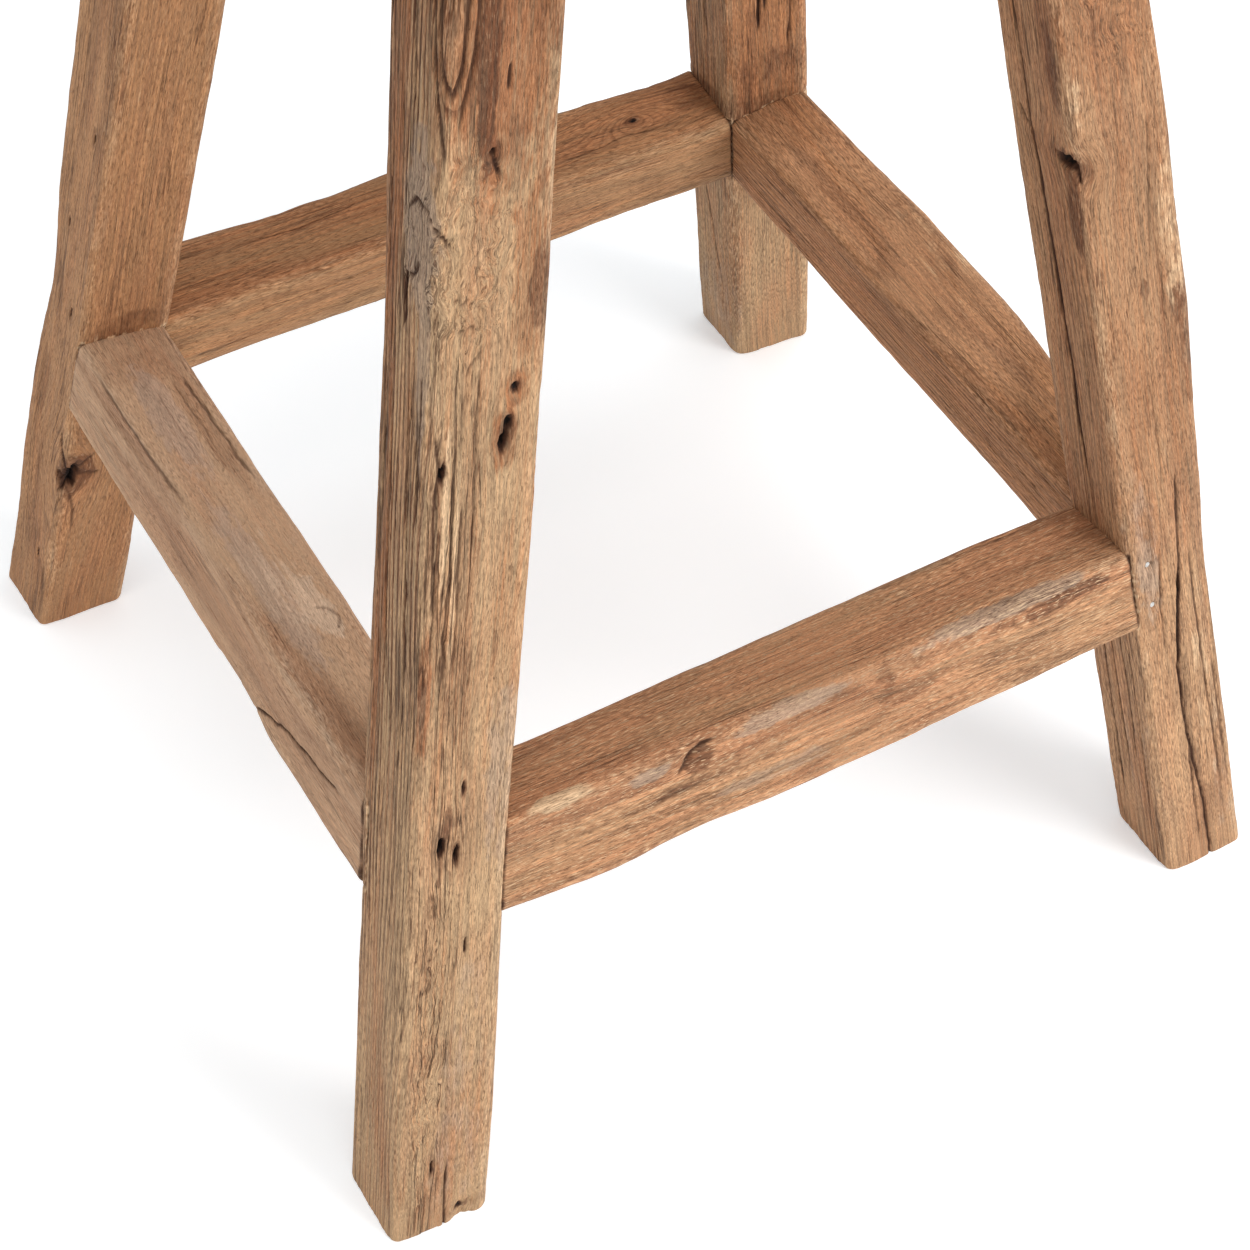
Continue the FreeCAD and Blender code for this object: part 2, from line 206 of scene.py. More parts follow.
def ring(width, depth, radius, count):
    """A rounded rectangle walked at even steps from the middle of one arris: each point
    is an arc centre plus the radius along the outward normal, and both the centre and
    the normal's angle are straight-line functions of the distance walked. Returns the
    place (a, b), the normal (a, b), the walk (0 at that arris, minus on the way back to
    it) and the whole girth."""
    arc, wide, deep = math.pi * radius / 2, width - 2 * radius, depth - 2 * radius
    stops = np.cumsum([0, arc / 2, wide, arc, deep, arc, wide, arc, deep, arc / 2])
    angles = np.radians([225, 270, 270, 360, 360, 450, 450, 540, 540, 585])
    near, far_a, far_b = radius, width - radius, depth - radius
    centre_a = [near, near, far_a, far_a, far_a, far_a, near, near, near, near]
    centre_b = [near, near, near, near, far_b, far_b, far_b, far_b, near, near]
    walk = np.arange(count) / count * stops[-1]
    angle = np.interp(walk, stops, angles)
    normal = np.cos(angle), np.sin(angle)
    place = [np.interp(walk, stops, centre) + radius * n
             for centre, n in zip((centre_a, centre_b), normal)]
    corners = [0.0, (stops[2] + stops[3]) / 2, (stops[4] + stops[5]) / 2,
               (stops[6] + stops[7]) / 2]
    return place, normal, walk, stops[-1], corners


def bar_rows(start, end, step, start_round, end_round, tenon=None):
    """Rows along a bar, as (distance along, share of the section, inset from its skin).
    Each end is a flat cap, then a quarter circle; a tenon steps in, rises and is capped."""
    rise = 1 - np.cos(TURN_STEPS)
    pull = 1 - np.sin(TURN_STEPS)
    shaft = np.arange(start + start_round, end - end_round, step)
    if tenon:
        upper = np.arange(UPPER_SHAFT + step, end - end_round, UPPER_STEP)
        shaft = np.concatenate([shaft[shaft < UPPER_SHAFT], upper])
    parts = [(start, CAP_SHARES, start_round), (start + start_round * rise, 1, start_round * pull),
             (shaft, 1, 0), (end - end_round * rise[::-1], 1, end_round * pull[::-1])]
    if tenon:
        share, top = tenon
        parts += [(end, np.array([0.9, share + 0.02]), 0),
                  (np.linspace(end, top - 0.6, 8), share, 0),
                  (top, share * np.array([0.985, 0.9, 0.7, 0.45, 0.2]), 0)]
    else:
        parts.append((end, CAP_SHARES[::-1], end_round))
    parts = [np.broadcast_arrays(*part) for part in parts]
    return [np.concatenate(column).astype(float) for column in zip(*parts)]


def surface(name, rows, attributes):
    """A closed skin through a grid of rings, with a pole at each end: four-cornered faces
    between neighbouring rings, three-cornered ones to the poles. Vertex attributes are
    grids too, and a pole takes the mean of its ring."""
    count, around = rows.shape[:2]

    def with_poles(grid):
        flat = grid.reshape(count * around, -1)
        return np.vstack([grid[0].reshape(around, -1).mean(0), flat,
                          grid[-1].reshape(around, -1).mean(0)])

    points = with_poles(rows)
    index = 1 + np.arange(count * around).reshape(count, around)
    after = np.roll(index, -1, axis=1)
    quads = np.stack([index[:-1], after[:-1], after[1:], index[1:]], -1).reshape(-1, 4)
    pole = np.full(around, len(points) - 1)
    fans = np.concatenate([np.stack([pole * 0, after[0], index[0]], -1),
                           np.stack([pole, index[-1], after[-1]], -1)])
    corner = points[quads]
    lean = np.cross(corner[:, 1] - corner[:, 0], corner[:, 2] - corner[:, 0])
    if np.einsum("ij,ij->", corner[:, 0] - points.mean(0), lean) < 0:
        quads, fans = quads[:, ::-1], fans[:, ::-1]
    mesh = bpy.data.meshes.new(name)
    mesh.vertices.add(len(points))
    mesh.vertices.foreach_set("co", points.astype(np.float32).ravel())
    loops = np.concatenate([quads.ravel(), fans.ravel()]).astype(np.int32)
    mesh.loops.add(loops.size)
    mesh.loops.foreach_set("vertex_index", loops)
    starts = np.concatenate([np.arange(len(quads)) * 4,
                             quads.size + np.arange(len(fans)) * 3]).astype(np.int32)
    mesh.polygons.add(starts.size)
    mesh.polygons.foreach_set("loop_start", starts)
    mesh.update(calc_edges=True)
    mesh.validate()
    mesh.shade_smooth()
    for label, grid in attributes.items():
        values = with_poles(grid).astype(np.float32)
        kind, field = ("FLOAT", "value") if values.shape[1] == 1 else ("FLOAT_VECTOR", "vector")
        mesh.attributes.new(label, kind, "POINT").data.foreach_set(field, values.ravel())
    piece = bpy.data.objects.new(name, mesh)
    scene.collection.objects.link(piece)
    return piece


RIB_DEPTH, FURROW_DEPTH, FLAKE_DEPTH = 0.26, 0.6, 0.6   # mm
ARRIS_REACH = 4.0                      # mm, how far from an arris its wear is felt
FOOT_REACH, FOOT_HEIGHT = 7.5, 55      # mm, the same for the wear round a foot


def worn_bar(name, section, rows, put, marks, wear, seed, pitch):
    """An old square bar. Its skin is a rounded rectangle carried along, pushed in or out
    by a height: slow swellings, arrises worn away unevenly, ribs where the soft part of
    each growth ring has weathered back, furrows that follow the grain where a noise field
    crosses zero, flaked-off layers where another passes a threshold, and the given marks.
    put(s, a, b) gives a point's place in mm from its distance along and its
    place in the section. Distances round the section are walked from the arris between
    its first and last faces, plus over the first face and minus over the last; wear gives
    each strength for the four faces in the order of the walk.

    marks holds, for each kind, (distance along, distance round, half length, half width,
    strength). A hole or scoop of that many mm is cut out of the skin, a knot or tongue
    bends the growth rings, torn and swirl are broken and curly grain, and the rest add to
    a tone or a texture. A crack or seam is (route, half width, depth, wander, and for a
    seam its share of filler), its route a list of (distance along, distance round).
    Holes, cracks, seams, furrows, flaked edges, torn grain and a rail's ends also get
    painted shade in the colour."""
    width, depth = section
    (a, b), (na, nb), walk, girth, corners = ring(
        width, depth, SAWN_ROUND, int(2 * (width + depth) / pitch))
    s, share, inset = (column[:, None] for column in rows)
    size = s.shape[0], a.size

    def noise(across, along, number):
        """Noise through the wood with cells across by along, in mm."""
        return drift(a / across, b / across, s / along, seed + number)

    def by_face(label):
        """A value that turns from face to face with the normal."""
        faces = np.clip([-nb, na, nb, -na], 0, None)
        return (np.array(wear[label])[:, None] * faces).sum(0) / faces.sum(0)

    def gap(place):
        """Distance round the section from a place on it, the short way."""
        return (walk - place + girth / 2) % girth - girth / 2

    ragged = noise(5, 9, 1) + 0.6 * noise(2, 3, 2)
    shapes = []
    for kind, places in marks.items():
        for at, off, long, wide, strength in places:
            along, across = s - at, gap(off)
            oval = np.sqrt((along / long) ** 2 + (across / wide) ** 2)
            patch = 1 - ramp(oval + 0.22 * ragged, 0.6, 1.3)
            shapes.append((kind, along, across, oval, patch, long, wide, strength))

    def total(kind):
        """One kind of mark, each patch at its strength, all over the bar."""
        return sum((patch * strength for name, *_, patch, long, wide, strength in shapes
                    if name == kind), 0.0)

    swirl = total("swirl")
    grain_a = a + 1.6 * noise(60, 120, 3) + swirl * (3.2 * noise(11, 15, 5) + noise(4, 6, 6))
    grain_b = b + 1.6 * noise(60, 120, 4) + swirl * (3.2 * noise(11, 15, 7) + noise(4, 6, 8))
    for kind, along, across, oval, patch, long, wide, strength in shapes:
        if kind in ("hole", "knot"):
            squeeze = 0.55 * np.exp(-(along / (2.4 * long)) ** 2 - (across / (2.2 * wide)) ** 2)
            grain_a = grain_a + squeeze * across * nb
            grain_b = grain_b - squeeze * across * na

    def fibre(across, along, number):
        """The same noise, but following the bent grain."""
        return drift(grain_a / across, grain_b / across, s / along, seed + number)

    spacing, pith_a, pith_b, wander = wear["rings"]
    rings = (np.hypot(grain_a - pith_a - s * 0.01, grain_b - pith_b)
             + wander * noise(24, 120, 9)) / spacing
    for kind, along, across, oval, patch, long, wide, strength in shapes:
        if kind == "hole":
            rings = rings + 1.2 * np.exp(-(oval / 2.4) ** 2)
        elif kind == "knot":
            rings = rings + strength * np.exp(-oval ** 2)
        elif kind == "tongue":
            rings = rings + strength * np.exp(-(across / wide) ** 2) * ramp(along, 0, long)

    height = wear["full"] + wear["swell"] * (1.2 * noise(90, 190, 10) + 0.3 * noise(35, 70, 11))
    height = height + 0.16 * noise(10, 80, 12) + 0.10 * fibre(3.4, 45, 13)
    worn = np.zeros(size)
    for number, corner in enumerate(corners):
        chew = np.clip(0.3 + 1.5 * ramp(drift(s / 80, number, 0.5, seed + 14), -0.1, 0.8)
                       + 0.3 * drift(s / 12, number, 0.5, seed + 15), 0, None)
        soften = np.exp(-(gap(corner) / ARRIS_REACH) ** 2)
        height = height - wear["arris"][number] * chew * soften
        height = height - wear["foot"][number] * np.exp(
            -(gap(corner) / FOOT_REACH) ** 2 - np.abs(s / FOOT_HEIGHT) ** 1.5)
        worn = np.maximum(worn, soften * np.clip(0.25 + 0.45 * chew, 0, 1))

    lined = np.clip(by_face("hair") * (0.75 + 0.6 * noise(14, 130, 16))
                    + total("lined") - total("smooth"), 0, 1.3)
    ribs = np.clip(by_face("ribs") + total("ringed") - 0.6 * total("smooth"), 0, 1) * np.ones(size)
    height = height - RIB_DEPTH * ribs * (0.5 + 0.5 * np.cos(2 * np.pi * (rings - 0.9))) ** 3
    broken = ramp(fibre(4, 24, 18), -0.2, 0.45)
    furrows = np.clip(1 - np.abs(fibre(2, 70, 17)) / 0.28, 0, 1) ** 1.5 * broken * lined
    furrows = furrows * by_face("furrow")
    height = height - FURROW_DEPTH * furrows
    layer = fibre(12, 85, 19) + 0.10 * fibre(2.6, 8, 20)
    flaked = by_face("flake")
    height = height - FLAKE_DEPTH * ramp(layer, 0.26, 0.30) * flaked
    # Painted shade in the furrows and along the edges of the flaked layers.
    hollow_shade = np.maximum(0.62 * furrows, 0.45 * flaked * np.exp(-((layer - 0.285) / 0.02) ** 2))

    tones = {label: by_face(label) * ramp(noise(17, 110, 21 + number), -0.7, 0.7)
             + total(label) for number, label in enumerate(("dark", "pale", "grey"))}
    brown = by_face("brown") + 0.16 * noise(15, 90, 24) + total("brown")

    for kind, along, across, oval, patch, long, wide, strength in shapes:
        if kind == "hole":
            # Painted shade inside each hole, through the hollow mask; the dark tone is also raised
            # at the hole and just round it.
            mouth = 1 - ramp(oval + 0.35 * ragged, 0.4, 0.95)
            height = height - strength * mouth - 0.15 * strength * np.exp(-(oval / 1.5) ** 2)
            hollow_shade = np.maximum(hollow_shade, 1 - ramp(oval + 0.35 * ragged, 0.65, 1.0))
            tones["dark"] = tones["dark"] + 0.8 * np.exp(-(oval / 1.5) ** 2)
        elif kind == "scoop":
            height = height - strength * np.exp(-oval ** 2)
        elif kind == "knot":
            tones["dark"] = tones["dark"] + 0.4 * np.exp(-(oval * 1.8) ** 2)
            height = height + 0.4 * np.exp(-(oval * 1.3) ** 2)
        elif kind == "torn":
            height = height + strength * patch * (0.6 * noise(3.2, 5.5, 25) - 0.2)
            # Painted shade in specks over the torn grain.
            hollow_shade = np.maximum(hollow_shade, 0.5 * patch * ramp(noise(2.2, 4.5, 26), 0.25, 0.8))

    splits = [(*crack, 0.0) for crack in wear["cracks"]] + wear["seams"]
    for route, wide, deep, stray, filled in splits:
        walked = s + stray * noise(9, 9, 27)
        aside = stray * noise(8, 13, 28) + 0.35 * stray * noise(4, 4, 29)
        nearest, way, covered = np.full(size, 99.0), np.zeros(size), 0.0
        for (s0, w0), (s1, w1) in zip(route, route[1:]):
            run = np.array([s1 - s0, w1 - w0])
            ahead, beside = walked - s0, gap(w0) + aside
            along = np.clip((ahead * run[0] + beside * run[1]) / (run @ run), 0, 1)
            off = np.hypot(ahead - along * run[0], beside - along * run[1])
            way = np.where(off < nearest, covered + along * math.hypot(*run), way)
            nearest = np.minimum(nearest, off)
            covered += math.hypot(*run)
        cut = np.exp(-(nearest / wide) ** 2) * (0.8 + 0.4 * noise(30, 12, 30))
        if route[0] != route[-1]:
            cut = cut * ramp(way, -1, 0.15 * covered) * ramp(covered - way, -1, 0.25 * covered)
        height = height - deep * cut
        filler = filled * ramp(noise(2.4, 2.4, 31), 0.0, 0.3)
        # Painted shade in each crack and joint gap, deeper ones darker, less where filler shows
        # pale; the dark tone is also raised in a band beside it.
        shade = np.clip(1.8 * cut, 0, 1) * min(1, 0.15 + 0.32 * deep)
        hollow_shade = np.maximum(hollow_shade, shade * (1 - filler))
        tones["dark"] = tones["dark"] + 0.18 * np.exp(-(nearest / (wide * 3)) ** 2)
        tones["pale"] = tones["pale"] + 1.8 * filler * np.exp(-(nearest / 1.8) ** 2)
    if wear["ends"]:
        # Painted shade on a rail's ends where they go into the legs.
        hollow_shade = np.maximum(hollow_shade, ramp(np.abs(s), wear["ends"] - 1.2, wear["ends"] - 0.2)
                            * (0.5 + 0.3 * noise(6, 6, 32)))

    height = height * ramp(share, 0.55, 0.95)
    ease = np.clip(1 + 0.5 * noise(14, 60, 33), 0.4, 1.6) * inset
    along_a = width / 2 + (a - width / 2) * share * (1 - 2 * ease / width) + na * height
    along_b = depth / 2 + (b - depth / 2) * share * (1 - 2 * ease / depth) + nb * height
    s_all = s * np.ones(size)
    points = np.stack(put(s_all, along_a, along_b), -1) * MM

    def channels(*fields):
        """Three fields, each kept between 0 and 1, side by side as one attribute."""
        return np.stack([np.clip(field, 0, 1) * np.ones(size) for field in fields], -1)

    flat_a = (width / 2 + (grain_a - width / 2) * share) * np.ones(size)
    flat_b = (depth / 2 + (grain_b - depth / 2) * share) * np.ones(size)
    # The marks attribute holds the painted shade in hollows, the worn arrises and the silvering.
    return surface(name, points, {
        "grain": np.stack([flat_a, flat_b, s_all], -1) * MM,
        "marks": channels(hollow_shade, worn, tones["grey"]),
        "tones": channels(tones["dark"], tones["pale"], brown),
        "lines": channels(lined, ribs, swirl),
        "rings": (rings * np.ones(size))[..., None]})


def maths(tree, operation, first, second=0.0, clamp=False):
    made = node(tree, "ShaderNodeMath", {0: first, 1: second}, operation=operation)
    made.use_clamp = clamp
    return made.outputs[0]


def between(tree, value, low, high, to_low=0.0, to_high=1.0):
    made = node(tree, "ShaderNodeMapRange", {
        "Value": value, "From Min": low, "From Max": high,
        "To Min": to_low, "To Max": to_high}, interpolation_type="SMOOTHSTEP")
    return made.outputs["Result"]


def blend(tree, share, first, second, mode="MIX"):
    made = node(tree, "ShaderNodeMix", {"Factor": share}, data_type="RGBA", blend_type=mode)
    for socket, value in ((made.inputs[6], first), (made.inputs[7], second)):
        if isinstance(value, bpy.types.NodeSocket):
            tree.links.new(value, socket)
        else:
            socket.default_value = value
    return made.outputs[2]


def streaks(tree, grain, across, along, detail, roughness=0.6):
    """Noise drawn out along the grain: scales are cells per metre."""
    stretched = node(tree, "ShaderNodeVectorMath", {
        0: grain, 1: (across, across, along)}, operation="MULTIPLY")
    return node(tree, "ShaderNodeTexNoise", {
        "Vector": stretched.outputs[0], "Scale": 1.0, "Detail": detail,
        "Roughness": roughness}).outputs["Fac"]


def old_wood_group():
    """Old bare hardwood, from the piece's own grain, rings, marks and tones: growth rings
    as narrow dark bands, long hairlines and short pores along the grain, slow changes of
    tone, silvering, rubbed arrises, and painted shade in holes, cracks, furrows and joint gaps."""
    group = bpy.data.node_groups.new("old_wood", "ShaderNodeTree")
    for label, kind, value in (
            ("Light", "NodeSocketColor", stain(190, 152, 118)),
            ("Brown", "NodeSocketColor", stain(150, 108, 78)),
            ("Dark", "NodeSocketColor", stain(88, 52, 33)),
            ("Red", "NodeSocketColor", stain(164, 104, 72)),
            ("Pale", "NodeSocketColor", stain(206, 174, 138)),
            ("Silver", "NodeSocketColor", stain(160, 139, 120)),
            ("Ring Strength", "NodeSocketFloat", 0.8),
            ("Hairline Strength", "NodeSocketFloat", 0.75),
            ("Pore Strength", "NodeSocketFloat", 0.35),
            ("Fleck Strength", "NodeSocketFloat", 0.15),
            ("Grain Strength", "NodeSocketFloat", 1.0),
            ("Red Share", "NodeSocketFloat", 0.18)):
        socket = group.interface.new_socket(label, in_out="INPUT", socket_type=kind)
        socket.default_value = value
    for label, kind in (("Color", "NodeSocketColor"), ("Roughness", "NodeSocketFloat"),
                        ("Height", "NodeSocketFloat")):
        group.interface.new_socket(label, in_out="OUTPUT", socket_type=kind)
    given = group.nodes.new("NodeGroupInput").outputs
    result = group.nodes.new("NodeGroupOutput").inputs

    times, plus, minus = (partial(maths, group, way) for way in ("MULTIPLY", "ADD", "SUBTRACT"))
    rise, mix = partial(between, group), partial(blend, group)

    def attribute(label):
        return node(group, "ShaderNodeAttribute", attribute_name=label).outputs

    def channels(label):
        return node(group, "ShaderNodeSeparateXYZ", {0: attribute(label)["Vector"]}).outputs

    grain = attribute("grain")["Vector"]
    field = partial(streaks, group, grain)
    hollow_shade, worn, silver = channels("marks")
    dark, pale, brown = channels("tones")
    lined, ribs, swirl = channels("lines")

    slow = field(60, 8, 3.0)
    fibre = field(820, 15, 4.0, 0.72)
    fine = field(1900, 260, 2.0)
    blotch = field(190, 55, 4.0)
    line_patch = field(110, 22, 2.0)
    pore_field = field(1900, 250, 1.0)

    count = plus(attribute("rings")["Fac"], rise(field(200, 12, 2.0), 0.2, 0.8, -0.22, 0.22))
    phase = maths(group, "FRACT", count)
    late = times(rise(phase, 0.45, 0.92), rise(phase, 0.93, 1.0, 1.0, 0.0))
    late = times(times(late, ribs), rise(field(70, 9, 2.0), 0.32, 0.6, 0.35, 1.0))

    def crossing(noise, width):
        """1 where a noise crosses its middle, falling to 0 at a width from it: a thin line
        along the grain."""
        return rise(maths(group, "ABSOLUTE", minus(noise, 0.5)), 0.0, width, 1.0, 0.0)

    hairline = times(crossing(field(300, 6, 2.0, 0.5), 0.020),
                     rise(plus(line_patch, times(lined, 0.30)), 0.58, 0.74))
    hairline = times(hairline, plus(lined, 0.25, True))
    threads = times(crossing(field(640, 9, 1.0), 0.030),
                    rise(plus(line_patch, times(lined, 0.2)), 0.45, 0.68, 0.1, 0.8))
    pores = rise(pore_field, 0.60, 0.70)
    specks = rise(pore_field, 0.40, 0.33)

    def broken(amount):
        """A patch's share, its edge drawn out and broken up along the grain."""
        edge = plus(times(minus(fibre, 0.5), 1.1), times(minus(blotch, 0.5), 1.3))
        return times(rise(plus(amount, edge), 0.32, 0.70),
                     maths(group, "POWER", plus(amount, 0.0, True), 0.5))

    share = plus(plus(brown, rise(slow, 0.3, 0.7, -0.30, 0.30)),
                 rise(fibre, 0.33, 0.67, -0.34, 0.34), True)
    rubbed = plus(times(broken(pale), 0.8),
                  times(worn, rise(plus(fine, blotch), 0.85, 1.2, 0.0, 0.55)), True)
    colour = mix(share, given["Light"], given["Brown"])
    for share, over in (
            (times(rise(field(85, 11, 3.0), 0.45, 0.62), given["Red Share"]), "Red"),
            (times(late, given["Ring Strength"], True), "Dark"),
            (times(broken(dark), 0.75), "Dark"),
            (times(broken(silver), 0.7), "Silver"),
            (rubbed, "Pale"),
            (times(specks, given["Fleck Strength"]), "Pale"),
            (times(pores, given["Pore Strength"]), "Dark"),
            (times(threads, given["Hairline Strength"]), "Dark"),
            (times(hairline, given["Hairline Strength"]), "Dark")):
        colour = mix(share, colour, given[over])
    grit = times(times(rise(fine, 0.25, 0.75, 0.70, 1.28), rise(fibre, 0.34, 0.66, 0.70, 1.28)),
                 rise(slow, 0.3, 0.7, 0.92, 1.08))
    grit = plus(times(minus(grit, 1.0), given["Grain Strength"]), 1.0)
    grit_grey = node(group, "ShaderNodeCombineColor", {0: grit, 1: grit, 2: grit}).outputs[0]
    colour = mix(1.0, colour, grit_grey, "MULTIPLY")
    # Painted shade: the hollow mask turns holes, cracks, furrows and joint gaps brown and then
    # nearly black.
    colour = mix(rise(hollow_shade, 0.08, 0.75), colour, stain(66, 40, 26))
    colour = mix(rise(hollow_shade, 0.8, 1.0), colour, stain(24, 15, 11))
    group.links.new(colour, result["Color"])

    roughness = plus(rise(fibre, 0.3, 0.7, 0.70, 0.85), times(worn, -0.08))
    group.links.new(roughness, result["Roughness"])
    height = plus(times(fibre, 0.7), times(fine, 0.35))
    height = minus(minus(height, times(hairline, 0.9)), times(pores, 0.35))
    height = plus(height, times(swirl, times(blotch, 1.1)))
    group.links.new(height, result["Height"])
    return group


OLD_WOOD = old_wood_group()
RELIEF = 0.0009    # m, the deepest fibre relief


def old_wood(name, light, brown, **values):
    """A piece's wood: the old wood group with its own colours and strengths."""
    material, tree, shader = finish(name, IOR=1.42)
    shader.inputs["Specular IOR Level"].default_value = 0.28
    wood = node(tree, "ShaderNodeGroup", node_tree=OLD_WOOD)
    wood.inputs["Light"].default_value = stain(*light)
    wood.inputs["Brown"].default_value = stain(*brown)
    for key, value in values.items():
        wood.inputs[key.replace("_", " ")].default_value = value
    tree.links.new(wood.outputs["Color"], shader.inputs["Base Color"])
    tree.links.new(wood.outputs["Roughness"], shader.inputs["Roughness"])
    bump = node(tree, "ShaderNodeBump", {
        "Height": wood.outputs["Height"], "Strength": 1.0, "Distance": RELIEF})
    tree.links.new(bump.outputs["Normal"], shader.inputs["Normal"])
    return material


LEG_STEP, LEG_PITCH = 2.0, 0.65        # mm between rings, and between points round one
TENON_PROUD = 0.5                      # mm above the seat
LEG_ROWS = bar_rows(0.0, SEAT_UNDERSIDE, LEG_STEP, 1.2, 0.6,
                    (TENON_SHARE, SEAT_TOP + TENON_PROUD))
RAIL_TOP = 230.5                       # mm, the rails' outer top arris above the floor
RAIL_HEIGHT, RAIL_WIDTH = 49.0, 44.0   # mm, down the face and across the top
NONE, SLIGHT, MIDDLING = (0.0,) * 4, (0.1,) * 4, (0.5,) * 4

# What a bar has where nothing else is said: "full" is the skin's stand above the sawn size
# and "ends" the shoulder beyond which a rail is in its mortise and painted with shade, both
# in mm; "rings" is the growth rings' spacing, the pith's place in the section, and how far the
# rings wander.
PLAIN = {"full": 1.2, "swell": 1.0, "arris": (1.0, 0.8, 1.0, 0.8), "furrow": (0.7,) * 4,
         "hair": MIDDLING, "ribs": MIDDLING, "flake": MIDDLING, "rings": (2.5, 20, 160, 3.5),
         "dark": SLIGHT, "pale": (0.2,) * 4, "grey": SLIGHT, "brown": (0.4,) * 4,
         "foot": (0.6, 0.0, 0.2, 0.1), "ends": 0.0, "cracks": [], "seams": []}
SEAM_WIDTH, SEAM_DEPTH, SEAM_WANDER, SEAM_FILLED = 0.8, 1.3, 0.35, 0.9


def seams(side_x, side_y):
    """Where the two rails' ends meet a leg: each is a slanted rectangle on one of the
    leg's inner faces, as a closed route of (height, distance round the leg)."""
    drop = RAIL_WIDTH * math.sin(math.atan(FACE_LEAN))
    across = RAIL_WIDTH * math.cos(math.atan(FACE_LEAN)) + FACE_LEAN * drop
    fall = RAIL_HEIGHT * math.cos(math.atan(FACE_LEAN))
    levels = [RAIL_TOP, RAIL_TOP - drop, RAIL_TOP - drop - fall, RAIL_TOP - fall, RAIL_TOP]
    reach = np.array([0, across, across, 0, 0])
    near_y = reach if side_y < 0 else LEG_DEPTH - reach
    near_x = reach if side_x < 0 else LEG_WIDTH - reach
    onto_x = LEG_WIDTH + near_y if side_x < 0 else -near_y
    onto_y = 2 * LEG_WIDTH + LEG_DEPTH - near_x if side_y < 0 else near_x
    return [(list(zip(levels, places)), SEAM_WIDTH, SEAM_DEPTH, SEAM_WANDER, SEAM_FILLED)
            for places in (onto_x, onto_y)]


